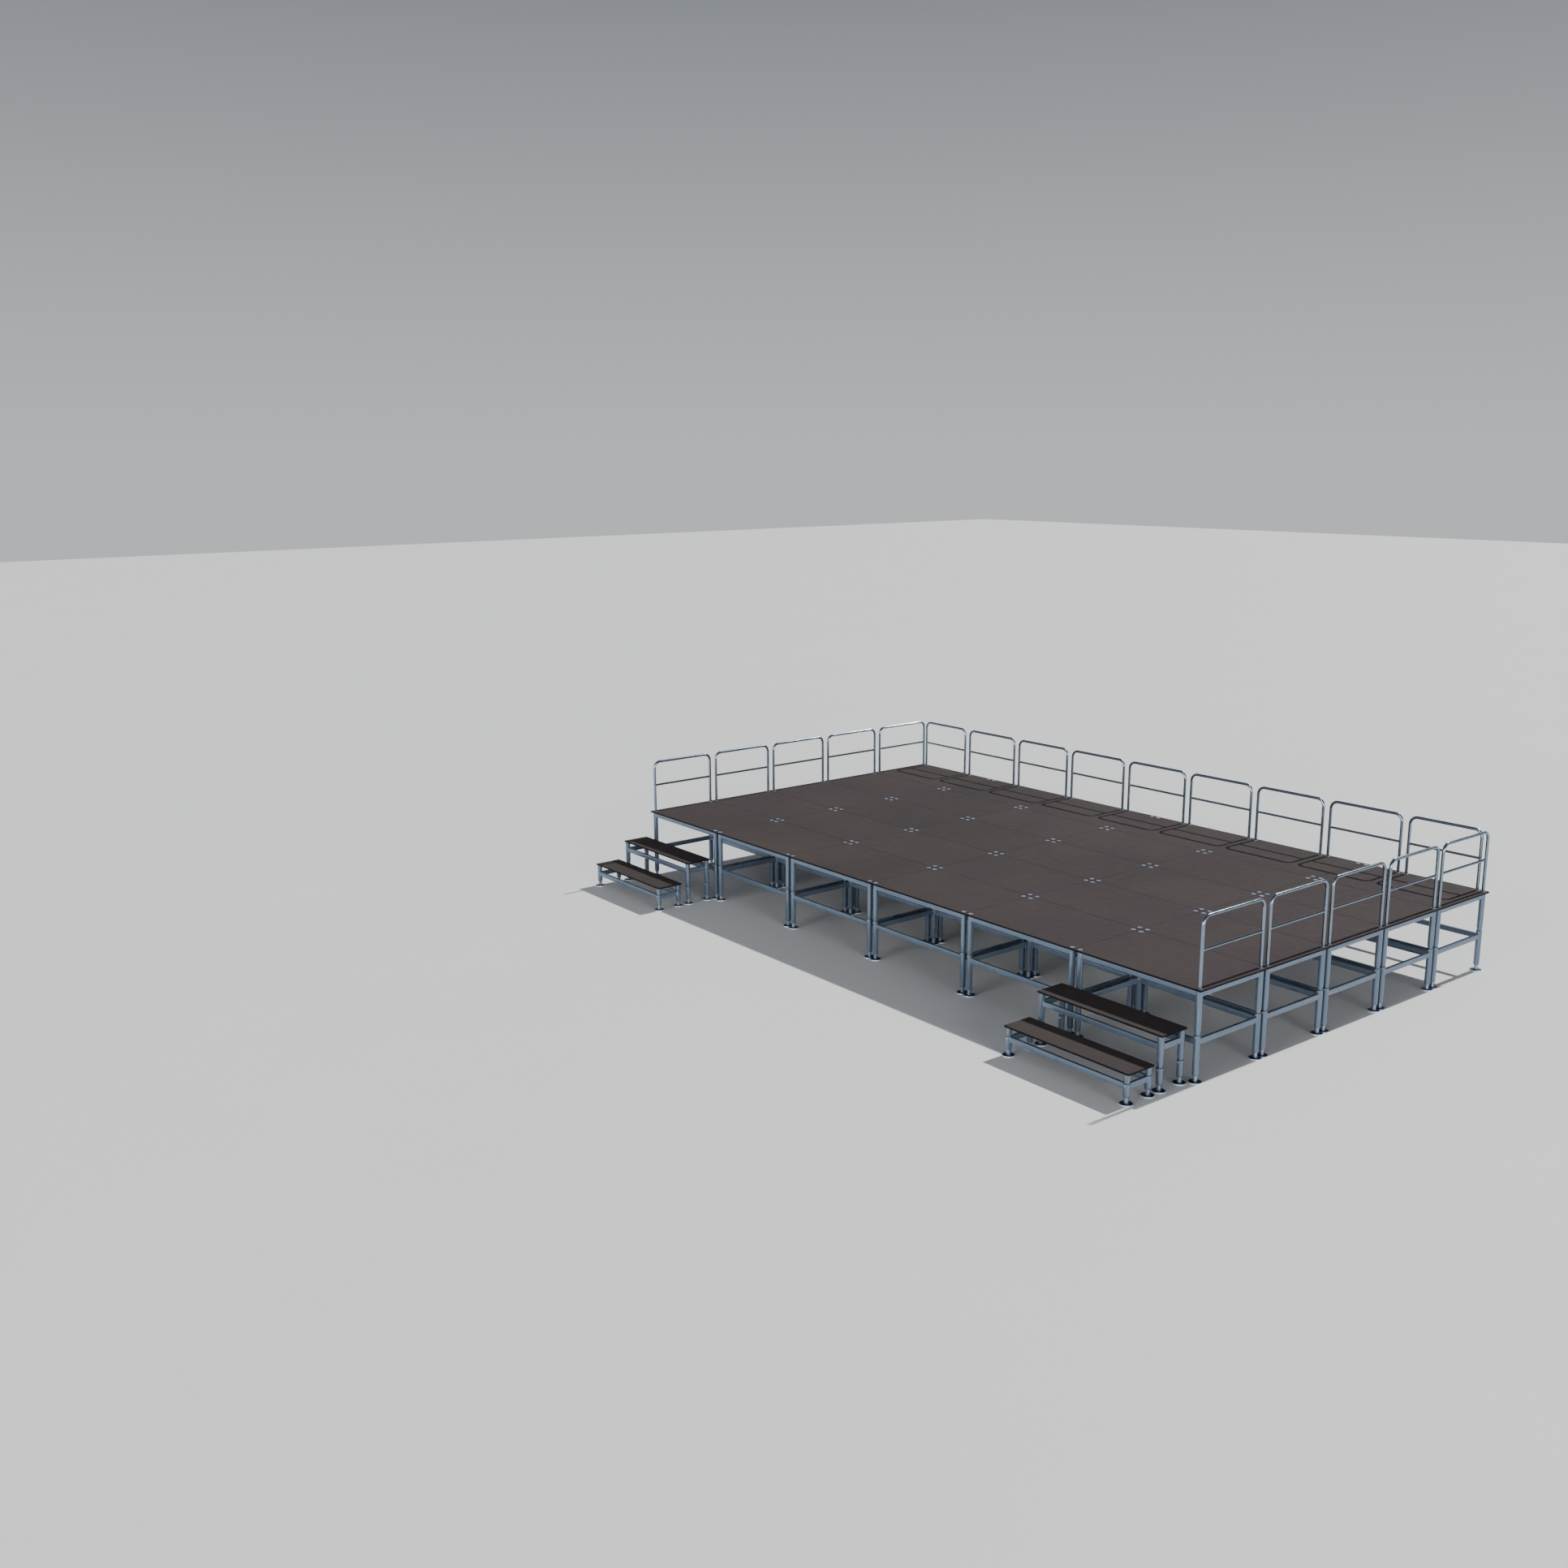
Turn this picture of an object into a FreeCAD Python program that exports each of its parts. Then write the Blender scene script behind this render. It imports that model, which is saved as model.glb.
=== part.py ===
"""Modular stage riser: deck modules on telescopic legs, guard rails and two flights of step tables.

All lengths are in millimetres.  The model stands on Z = 0, with the middle of its bounding box on
the Z axis.  X runs along the front edge of the deck and Y from the front edge to the back.
"""
import math
import os

import FreeCAD
import Part
import Sketcher

Vector = FreeCAD.Vector

# Driving dimensions: alias, value, meaning.
DIMENSIONS = [
    ("module_length", 1500, "deck module along X"),
    ("module_depth", 1000, "deck module along Y"),
    ("modules_along", 6, "modules along X"),
    ("modules_deep", 5, "modules along Y"),
    ("deck_height", 900, "top of the deck above the floor"),
    ("board_thickness", 18, "deck and tread boards"),
    ("board_gap", 2, "seam between two deck boards"),
    ("leg_inset", 50, "leg axis from the edge of its module"),
    ("tube_diameter", 60, "upper leg tube, outside"),
    ("tube_wall", 4, "upper leg tube wall"),
    ("neck_diameter", 51, "inner tube that slides in the leg sleeve, outside"),
    ("neck_wall", 4, "inner tube wall"),
    ("neck_taper", 25, "height of the taper from tube to neck"),
    ("sleeve_diameter", 61, "lower leg sleeve, outside"),
    ("slide_clearance", 0.08, "radial clearance of telescope and foot screw"),
    ("sleeve_bottom", 66, "lower end of the sleeve above the floor"),
    ("nose_diameter", 52, "lower end of the sleeve, outside"),
    ("nose_height", 16, "height of the tapered nose"),
    ("nut_height", 26, "height of the foot screw's nut"),
    ("stem_diameter", 42, "foot screw, outside"),
    ("stem_top", 112, "top of the foot screw above the floor"),
    ("hub_diameter", 54, "foot pad hub"),
    ("hub_top", 17, "top of the foot pad hub above the floor"),
    ("pad_diameter", 124, "foot pad"),
    ("pad_thickness", 10, "foot pad"),
    ("pad_gap", 2, "gap between two neighbouring foot pads"),
    ("joint_height", 455, "top of the stage's sleeves above the floor"),
    ("neck_top", 476, "top of the visible neck above the floor"),
    ("inner_tube_end", 205, "lower end of the stage's inner tubes above the floor"),
    ("beam_width", 42, "deck frame beam"),
    ("beam_depth", 57, "deck frame beam"),
    ("beam_wall", 2, "deck frame beam"),
    ("brace_width", 30, "brace bar"),
    ("brace_depth", 55, "brace bar"),
    ("brace_wall", 2.5, "brace bar"),
    ("brace_bottom", 365, "lower face of the stage's brace bars above the floor"),
    ("socket_diameter", 44, "socket bush where it passes through the board"),
    ("socket_hole", 45, "hole in the board for a socket bush"),
    ("flange_diameter", 50, "flange of a socket bush, flush with the deck"),
    ("flange_height", 2, "thickness of that flange"),
    ("seat_clearance", 0.2, "radial clearance round a flange or a cap let into a board"),
    ("socket_bore", 34.4, "bore for a guard rail post"),
    ("socket_depth", 68, "bore depth below the deck"),
    ("socket_floor", 6, "closed end of a socket bush"),
    ("beam_socket_diameter", 37.6, "bush that stands in a beam"),
    ("cap_diameter", 34.2, "cap that closes an empty socket"),
    ("cap_skirt", 14, "length of the cap's skirt"),
    ("clamp_length", 70, "module clamp, along the beams"),
    ("clamp_block", 40, "height of the clamp's block between two beams"),
    ("clamp_plate", 8, "thickness of the clamp's plate under the beams"),
    ("clamp_grip", 15, "how far the plate reaches under each beam"),
    ("bolt_diameter", 12, "module clamp bolt"),
    ("bolt_head", 20, "bolt head and nut across"),
    ("head_height", 8, "bolt head and nut"),
    ("rail_diameter", 33.7, "guard rail tube, outside"),
    ("rail_wall", 2.6, "guard rail tube wall"),
    ("rail_spacing", 900, "distance between the two posts of a guard rail"),
    ("rail_pitch", 1000, "distance from one guard rail to the next"),
    ("rail_height", 670, "centre of the top bar above the deck"),
    ("rail_bend", 85, "centreline radius of the bends"),
    ("mid_rail_diameter", 26.9, "mid rail, outside"),
    ("mid_rail_height", 357, "centre of the mid rail above the deck"),
    ("corner_shift", 65, "how far a back corner post stands beside the side rail's post"),
    ("tread_length", 1500, "tread board along X"),
    ("tread_depth", 350, "tread board along Y"),
    ("tread_leg_inset_x", 40, "table leg axis from the tread's end"),
    ("tread_leg_inset_y", 30, "table leg axis from the tread's long edge"),
    ("left_flight_x", 702, "middle of the left flight from the deck's left edge"),
    ("right_flight_x", 8163, "middle of the right flight from the deck's left edge"),
    ("upper_table_y", -220, "middle of an upper table from the deck's front edge"),
    ("lower_table_y", -663, "middle of a lower table from the deck's front edge"),
    ("upper_tread_top", 543, "upper tread above the floor"),
    ("lower_tread_top", 300, "lower tread above the floor"),
    ("upper_joint", 228, "top of an upper table's sleeves above the floor"),
    ("lower_joint", 195, "top of a lower table's sleeves above the floor"),
    ("upper_neck", 24, "visible neck of an upper table's legs"),
    ("lower_neck", 14, "visible neck of a lower table's legs"),
    ("upper_brace_bottom", 395, "lower face of an upper table's brace bars above the floor"),
    ("lower_brace_bottom", 140, "lower face of a lower table's brace bars above the floor"),
    ("table_tube_end", 118, "lower end of a table's inner tubes above the floor"),
    ("tread_cap_diameter", 40, "cap of the bolt that holds a tread to its leg"),
    ("tread_cap_height", 1.5, "thickness of that cap, flush with the tread"),
    ("tread_cap_shank", 12, "bolt under the tread cap, diameter"),
    ("tread_bolt_length", 30.5, "bolt under the tread cap"),
    ("tread_plate", 8, "end plate in the top of a table leg"),
]

doc = FreeCAD.newDocument("StageRiser")
sheet = doc.addObject("Spreadsheet::Sheet", "Sizes")
for row, (alias, number, meaning) in enumerate(DIMENSIONS, start=1):
    sheet.set(f"A{row}", alias)
    sheet.set(f"B{row}", str(number))
    sheet.set(f"C{row}", meaning)
    sheet.setAlias(f"B{row}", alias)
doc.recompute()


def size(alias):
    """One driving dimension, read from the sheet."""
    return float(sheet.get(alias))


def bound(text):
    """An expression over the sheet's aliases, in which {alias} becomes Sizes.alias."""
    for alias, _, _ in DIMENSIONS:
        text = text.replace("{" + alias + "}", f"Sizes.{alias}")
    return text


# ---------------------------------------------------------------- sketch and body helpers

def new_body(name):
    return doc.addObject("PartDesign::Body", name)


def origin_plane(body, role):
    """One of the body's own origin planes, such as XY_Plane."""
    for feature in body.Origin.OriginFeatures:
        if feature.Role == role:
            return feature
    raise ValueError(role)


def new_sketch(body, name, role):
    sketch = body.newObject("Sketcher::SketchObject", name)
    sketch.AttachmentSupport = (origin_plane(body, role), [""])
    sketch.MapMode = "FlatFace"
    return sketch


def pin_point(sketch, geometry, point, across, up):
    """Hold one point of the sketch at (across, up); "0" puts it on the axis."""
    for kind, axis, text in (("DistanceX", -2, across), ("DistanceY", -1, up)):
        if text == "0":
            sketch.addConstraint(Sketcher.Constraint("PointOnObject", geometry, point, axis))
            continue
        start = getattr(sketch.getPoint(geometry, point), "x" if kind == "DistanceX" else "y")
        index = sketch.addConstraint(Sketcher.Constraint(kind, -1, 1, geometry, point, start))
        sketch.setExpression(f"Constraints[{index}]", bound(text))


def draw_polygon(sketch, corners):
    """Closed outline whose corners are (across, up) expressions."""
    first = sketch.GeometryCount
    count = len(corners)
    start = [Vector(number + 1, number * number + 1, 0) for number in range(count)]
    for number in range(count):
        sketch.addGeometry(Part.LineSegment(start[number], start[(number + 1) % count]), False)
    for number in range(count):
        following = first + (number + 1) % count
        sketch.addConstraint(Sketcher.Constraint("Coincident", first + number, 2, following, 1))
    for number, (across, up) in enumerate(corners):
        pin_point(sketch, first + number, 1, across, up)


def draw_rectangle(sketch, left, bottom, right, top):
    draw_polygon(sketch, [(left, bottom), (right, bottom), (right, top), (left, top)])


def draw_circle(sketch, across, up, diameter):
    """Full circle; its centre and diameter are expressions."""
    index = sketch.addGeometry(Part.Circle(Vector(1, 1, 0), Vector(0, 0, 1), 1), False)
    pin_point(sketch, index, 3, across, up)
    datum = sketch.addConstraint(Sketcher.Constraint("Diameter", index, 2.0))
    sketch.setExpression(f"Constraints[{datum}]", bound(diameter))


def pad(body, sketch, length):
    feature = body.newObject("PartDesign::Pad", f"{body.Name}_pad")
    feature.Profile = sketch
    feature.setExpression("Length", bound(length))
    doc.recompute()


def cut_through(body, sketch):
    """Pocket that runs out of the body on both sides of the sketch."""
    pocket = body.newObject("PartDesign::Pocket", f"{body.Name}_cut")
    pocket.Profile = sketch
    pocket.Type = "ThroughAll"
    pocket.Midplane = True
    doc.recompute()


def turned_body(name, outline):
    """Solid of revolution about Z from an outline of (radius, height) expressions."""
    body = new_body(name)
    sketch = new_sketch(body, f"{name}_outline", "XZ_Plane")
    draw_polygon(sketch, outline)
    turn = body.newObject("PartDesign::Revolution", f"{name}_turn")
    turn.Profile = sketch
    turn.ReferenceAxis = (sketch, ["V_Axis"])
    turn.Angle = 360
    doc.recompute()
    return body


def bar_body(name, length, width, depth, wall, cope_diameter):
    """Hollow rectangular bar from leg axis to leg axis, its ends coped to the round legs."""
    body = new_body(name)
    section = new_sketch(body, f"{name}_section", "YZ_Plane")
    draw_rectangle(section, "0", "0", width, depth)
    draw_rectangle(section, wall, wall, f"{width} - {wall}", f"{depth} - {wall}")
    pad(body, section, length)
    cope = new_sketch(body, f"{name}_cope", "XY_Plane")
    draw_circle(cope, "0", f"{width} / 2", cope_diameter)
    draw_circle(cope, length, f"{width} / 2", cope_diameter)
    cut_through(body, cope)
    return body


def moved(shape, x=0.0, y=0.0, z=0.0, turned=0.0):
    """Copy of a shape, turned about Z by degrees and then moved."""
    copy = shape.copy()
    copy.Placement = FreeCAD.Placement(Vector(x, y, z), FreeCAD.Rotation(Vector(0, 0, 1), turned))
    return copy


# ---------------------------------------------------------------- where things stand

LENGTH = size("module_length")
DEPTH = size("module_depth")
ALONG = int(size("modules_along"))
DEEP = int(size("modules_deep"))
STAGE_LENGTH = LENGTH * ALONG
STAGE_DEPTH = DEPTH * DEEP
INSET = size("leg_inset")
DECK = size("deck_height")
BOARD_UNDERSIDE = DECK - size("board_thickness")

# The widest points of the whole object, which are foot pads; their middle is the origin.
PAD_RADIUS = size("pad_diameter") / 2
TABLE_REACH_X = size("tread_length") / 2 - size("tread_leg_inset_x") + PAD_RADIUS
TABLE_REACH_Y = size("tread_depth") / 2 - size("tread_leg_inset_y") + PAD_RADIUS
MIN_X = size("left_flight_x") - TABLE_REACH_X
MAX_X = STAGE_LENGTH - INSET + PAD_RADIUS
MIN_Y = size("lower_table_y") - TABLE_REACH_Y
MAX_Y = STAGE_DEPTH - INSET + PAD_RADIUS
ORIGIN = Vector((MIN_X + MAX_X) / 2, (MIN_Y + MAX_Y) / 2, 0)


def leg_places():
    """Every leg of the stage as (x, y, side_x, side_y); a side is where a neighbour leg stands."""
    places = []
    for column in range(ALONG):
        for row in range(DEEP):
            for end_x, end_y in ((0, 0), (1, 0), (0, 1), (1, 1)):
                x = column * LENGTH + (LENGTH - INSET if end_x else INSET)
                y = row * DEPTH + (DEPTH - INSET if end_y else INSET)
                next_x = column + (1 if end_x else -1)
                next_y = row + (1 if end_y else -1)
                side_x = (next_x - column) if 0 <= next_x < ALONG else 0
                side_y = (next_y - row) if 0 <= next_y < DEEP else 0
                places.append((x, y, side_x, side_y))
    return places


def rail_places():
    """Every guard rail as (name, first post x, first post y, turn about Z, post spacing)."""
    spacing = size("rail_spacing")
    pitch = size("rail_pitch")
    shift = size("corner_shift")
    rails = []
    for number in range(int(STAGE_DEPTH / pitch)):
        y = number * pitch + INSET
        rails.append((f"guard_rail_left_{number + 1}", INSET, y, 90, spacing))
        rails.append((f"guard_rail_right_{number + 1}", STAGE_LENGTH - INSET, y, 90, spacing))
    count = int(STAGE_LENGTH / pitch)
    for number in range(count):
        x = number * pitch + INSET
        width = spacing
        if number == 0:
            x = x + shift
        if number in (0, count - 1):
            width = spacing - shift
        rails.append((f"guard_rail_back_{number + 1}", x, STAGE_DEPTH - INSET, 0, width))
    return rails


def post_places():
    """Where every guard rail post stands, as (x, y)."""
    places = []
    for _, x, y, turned, width in rail_places():
        places.append((x, y))
        places.append((x, y + width) if turned else (x + width, y))
    return places


LEGS = leg_places()
LEG_AXES = [(x, y) for x, y, _, _ in LEGS]
POSTS = post_places()
BEAM_POSTS = [place for place in POSTS if place not in LEG_AXES]
CAPPED = [place for place in LEG_AXES if place not in POSTS]

nodes = {}


def add_node(name, shapes):
    """One sub-part of the object: a group of separate solids in the model's frame."""
    feature = doc.addObject("Part::Feature", name)
    feature.Shape = Part.makeCompound(shapes)
    feature.Placement = FreeCAD.Placement(-ORIGIN, FreeCAD.Rotation())
    feature.Label = name
    nodes[name] = feature


# ---------------------------------------------------------------- boards

def board_body(name, length, depth, gap, inset_x, inset_y, hole, seat, seat_depth):
    """Board with one stepped hole over each of its four legs; the wide step takes a flush disc."""
    body = new_body(name)
    places = [(across, up) for across in (inset_x, f"{length} - {inset_x}")
              for up in (inset_y, f"{depth} - {inset_y}")]
    outline = new_sketch(body, f"{name}_outline", "XY_Plane")
    near = f"{gap} / 2"
    draw_rectangle(outline, near, near, f"{length} - {gap} / 2", f"{depth} - {gap} / 2")
    for across, up in places:
        draw_circle(outline, across, up, hole)
    pad(body, outline, "{board_thickness}")
    seats = new_sketch(body, f"{name}_seats", "XY_Plane")
    seats.setExpression("AttachmentOffset.Base.z", bound("{board_thickness}"))
    for across, up in places:
        draw_circle(seats, across, up, f"{seat} + 2 * {{seat_clearance}}")
    pocket = body.newObject("PartDesign::Pocket", f"{name}_seat_cut")
    pocket.Profile = seats
    pocket.setExpression("Length", bound(seat_depth))
    doc.recompute()
    return body


def post_hole(x, y, diameter, bottom, height):
    return Part.makeCylinder(diameter / 2, height, Vector(x, y, bottom))


def add_deck_boards():
    template = board_body("deck_board", "{module_length}", "{module_depth}", "{board_gap}",
                          "{leg_inset}", "{leg_inset}", "{socket_hole}",
                          "{flange_diameter}", "{flange_height}")
    seat = size("flange_diameter") + 2 * size("seat_clearance")
    seat_depth = size("flange_height")
    holes = [post_hole(x, y, size("socket_hole"), BOARD_UNDERSIDE, size("board_thickness"))
             for x, y in BEAM_POSTS]
    holes += [post_hole(x, y, seat, DECK - seat_depth, seat_depth) for x, y in BEAM_POSTS]
    boards = []
    for column in range(ALONG):
        for row in range(DEEP):
            board = moved(template.Shape, column * LENGTH, row * DEPTH, BOARD_UNDERSIDE)
            if row == DEEP - 1:
                board = board.cut(holes)
            boards.append(board)
    add_node("deck_boards", boards)


# ---------------------------------------------------------------- deck frame

def add_beams():
    """Each module's own frame: two long and two cross beams between its four legs."""
    sections = ("{beam_width}", "{beam_depth}", "{beam_wall}", "{tube_diameter}")
    long_bar = bar_body("long_beam", "{module_length} - 2 * {leg_inset}", *sections)
    cross_bar = bar_body("cross_beam", "{module_depth} - 2 * {leg_inset}", *sections)
    half = size("beam_width") / 2
    bottom = BOARD_UNDERSIDE - size("beam_depth")
    top_wall = BOARD_UNDERSIDE - size("beam_wall")
    holes = [post_hole(x, y, size("beam_socket_diameter"), top_wall, size("beam_wall"))
             for x, y in BEAM_POSTS]
    long_beams = []
    cross_beams = []
    for column in range(ALONG):
        for row in range(DEEP):
            left = column * LENGTH + INSET
            front = row * DEPTH + INSET
            right = (column + 1) * LENGTH - INSET
            back = (row + 1) * DEPTH - INSET
            long_beams.append(moved(long_bar.Shape, left, front - half, bottom))
            back_beam = moved(long_bar.Shape, left, back - half, bottom)
            if row == DEEP - 1:
                back_beam = back_beam.cut(holes)
            long_beams.append(back_beam)
            for x in (left, right):
                cross_beams.append(moved(cross_bar.Shape, x + half, front, bottom, 90))
    add_node("long_beams", long_beams)
    add_node("cross_beams", cross_beams)


def clamp_body():
    """Tee-shaped clamp: a block between two beams on a plate that grips them from below."""
    body = new_body("module_clamp")
    section = new_sketch(body, "module_clamp_section", "YZ_Plane")
    gap = "(2 * {leg_inset} - {beam_width})"
    grip = "{clamp_grip}"
    top = "{clamp_plate} + {clamp_block}"
    draw_polygon(section, [
        ("0", "0"), (f"{gap} + 2 * {grip}", "0"), (f"{gap} + 2 * {grip}", "{clamp_plate}"),
        (f"{gap} + {grip}", "{clamp_plate}"), (f"{gap} + {grip}", top), (grip, top),
        (grip, "{clamp_plate}"), ("0", "{clamp_plate}"),
    ])
    pad(body, section, "{clamp_length}")
    hole = new_sketch(body, "module_clamp_hole", "XY_Plane")
    draw_circle(hole, "{clamp_length} / 2", f"{gap} / 2 + {grip}", "{bolt_diameter}")
    cut_through(body, hole)
    return body


def clamp_bolt_body():
    """Bolt with its head under the clamp's plate and its nut on the clamp's block."""
    shank = "{bolt_diameter} / 2"
    head = "{bolt_head} / 2"
    nut_face = "{head_height} + {clamp_plate} + {clamp_block}"
    end = f"{nut_face} + {{head_height}}"
    return turned_body("clamp_bolt", [
        ("0", "0"), (head, "0"), (head, "{head_height}"), (shank, "{head_height}"),
        (shank, nut_face), (head, nut_face), (head, end), ("0", end),
    ])


def add_module_clamps():
    """A clamp and its bolt in the middle of every seam between two modules."""
    clamp = clamp_body().Shape
    bolt = clamp_bolt_body().Shape
    half_length = size("clamp_length") / 2
    half_width = INSET - size("beam_width") / 2 + size("clamp_grip")
    bottom = BOARD_UNDERSIDE - size("beam_depth") - size("clamp_plate")
    bolt_bottom = bottom - size("head_height")
    clamps = []
    bolts = []
    for column in range(ALONG):
        for row in range(1, DEEP):
            x = (column + 0.5) * LENGTH
            y = row * DEPTH
            clamps.append(moved(clamp, x - half_length, y - half_width, bottom))
            bolts.append(moved(bolt, x, y, bolt_bottom))
    for column in range(1, ALONG):
        for row in range(DEEP):
            x = column * LENGTH
            y = (row + 0.5) * DEPTH
            clamps.append(moved(clamp, x + half_width, y - half_length, bottom, 90))
            bolts.append(moved(bolt, x, y, bolt_bottom))
    add_node("module_clamps", clamps)
    add_node("clamp_bolts", bolts)


# ---------------------------------------------------------------- legs

def leg_tube_body(name, top, neck_top, end, head):
    """Upper leg tube with the thinner inner tube that slides in the sleeve; head shapes its top."""
    outer = "{tube_diameter} / 2"
    neck = "{neck_diameter} / 2"
    bore = "{tube_diameter} / 2 - {tube_wall}"
    neck_bore = "{neck_diameter} / 2 - {neck_wall}"
    shoulder = f"{neck_top} + {{neck_taper}}"
    return turned_body(name, [
        (neck_bore, end), (neck, end), (neck, neck_top), (outer, shoulder), (outer, top),
        *head, (bore, shoulder), (neck_bore, neck_top),
    ])


def open_head(top):
    """The bore runs out of the top of the tube."""
    return [("{tube_diameter} / 2 - {tube_wall}", top)]


def plated_head(top):
    """An end plate with a hole for the tread's bolt."""
    bolt = "{tread_cap_shank} / 2"
    plate = f"{top} - {{tread_plate}}"
    return [(bolt, top), (bolt, plate), ("{tube_diameter} / 2 - {tube_wall}", plate)]


def sleeve_body(name, top):
    """Lower leg sleeve with a tapered nose that holds the nut of the foot screw."""
    outer = "{sleeve_diameter} / 2"
    bore = "{neck_diameter} / 2 + {slide_clearance}"
    thread = "{stem_diameter} / 2 + {slide_clearance}"
    nut_top = "{sleeve_bottom} + {nut_height}"
    return turned_body(name, [
        (thread, "{sleeve_bottom}"), ("{nose_diameter} / 2", "{sleeve_bottom}"),
        (outer, "{sleeve_bottom} + {nose_height}"), (outer, top), (bore, top),
        (bore, nut_top), (thread, nut_top),
    ])


def foot_body():
    """Round pad, its hub and the screw that runs up into the sleeve."""
    stem = "{stem_diameter} / 2"
    hub = "{hub_diameter} / 2"
    pad_edge = "{pad_diameter} / 2"
    return turned_body("foot", [
        ("0", "0"), (pad_edge, "0"), (pad_edge, "{pad_thickness}"), (hub, "{pad_thickness}"),
        (hub, "{hub_top}"), (stem, "{hub_top}"), (stem, "{stem_top}"), ("0", "{stem_top}"),
    ])


def trimmed_foot(shape, side_x, side_y):
    """Foot whose pad is cut flat on each side where a neighbouring leg stands."""
    reach = INSET - size("pad_gap") / 2
    wide = 2 * PAD_RADIUS
    for side, along in ((side_x, Vector(1, 0, 0)), (side_y, Vector(0, 1, 0))):
        if side:
            middle = along * (side * (reach + wide / 2))
            corner = middle - Vector(wide / 2, wide / 2, 0)
            shape = shape.cut(Part.makeBox(wide, wide, size("pad_thickness"), corner))
    return shape


def add_stage_legs(foot):
    top = "{deck_height} - {board_thickness}"
    tube = leg_tube_body("stage_tube", top, "{neck_top}", "{inner_tube_end}", open_head(top))
    sleeve = sleeve_body("stage_sleeve", "{joint_height}")
    add_node("leg_tubes", [moved(tube.Shape, x, y) for x, y in LEG_AXES])
    add_node("leg_sleeves", [moved(sleeve.Shape, x, y) for x, y in LEG_AXES])
    trimmed = {}
    for row in range(DEEP):
        feet = []
        for x, y, side_x, side_y in LEGS:
            if row * DEPTH < y < (row + 1) * DEPTH:
                sides = (side_x, side_y)
                if sides not in trimmed:
                    trimmed[sides] = trimmed_foot(foot.Shape, side_x, side_y)
                feet.append(moved(trimmed[sides], x, y))
        add_node(f"levelling_feet_row_{row + 1}", feet)


def add_stage_braces():
    sections = ("{brace_width}", "{brace_depth}", "{brace_wall}", "{sleeve_diameter}")
    long_bar = bar_body("long_brace", "{module_length} - 2 * {leg_inset}", *sections)
    cross_bar = bar_body("cross_brace", "{module_depth} - 2 * {leg_inset}", *sections)
    half = size("brace_width") / 2
    bottom = size("brace_bottom")
    long_braces = []
    cross_braces = []
    for column in range(ALONG):
        for row in range(DEEP):
            left = column * LENGTH + INSET
            front = row * DEPTH + INSET
            for y in (front, (row + 1) * DEPTH - INSET):
                long_braces.append(moved(long_bar.Shape, left, y - half, bottom))
            for x in (left, (column + 1) * LENGTH - INSET):
                cross_braces.append(moved(cross_bar.Shape, x + half, front, bottom, 90))
    add_node("long_braces", long_braces)
    add_node("cross_braces", cross_braces)


# ---------------------------------------------------------------- post sockets

def add_sockets():
    """Flush socket bushes in the leg heads and beams, and caps in the ones that hold no post."""
    bore = "{socket_bore} / 2"
    flange = "{flange_diameter} / 2"
    neck = "{socket_diameter} / 2"
    body = "{tube_diameter} / 2 - {tube_wall}"
    slim = "{beam_socket_diameter} / 2"
    top = "{deck_height}"
    seat = "{deck_height} - {flange_height}"
    under = "{deck_height} - {board_thickness}"
    floor = "{deck_height} - {socket_depth}"
    end = f"{floor} - {{socket_floor}}"
    leg_socket = turned_body("leg_socket", [
        ("0", end), (body, end), (body, under), (neck, under), (neck, seat),
        (flange, seat), (flange, top), (bore, top), (bore, floor), ("0", floor),
    ])
    beam_floor = f"{under} - {{beam_depth}} + {{beam_wall}}"
    beam_socket = turned_body("beam_socket", [
        ("0", beam_floor), (slim, beam_floor), (slim, seat), (flange, seat),
        (flange, top), (bore, top), (bore, floor), ("0", floor),
    ])
    cap = turned_body("socket_cap", [
        ("0", "{deck_height} - {cap_skirt}"), ("{cap_diameter} / 2", "{deck_height} - {cap_skirt}"),
        ("{cap_diameter} / 2", top), ("0", top),
    ])
    add_node("leg_sockets", [moved(leg_socket.Shape, x, y) for x, y in LEG_AXES])
    add_node("beam_sockets", [moved(beam_socket.Shape, x, y) for x, y in BEAM_POSTS])
    add_node("socket_caps", [moved(cap.Shape, x, y) for x, y in CAPPED])


# ---------------------------------------------------------------- guard rails

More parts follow.
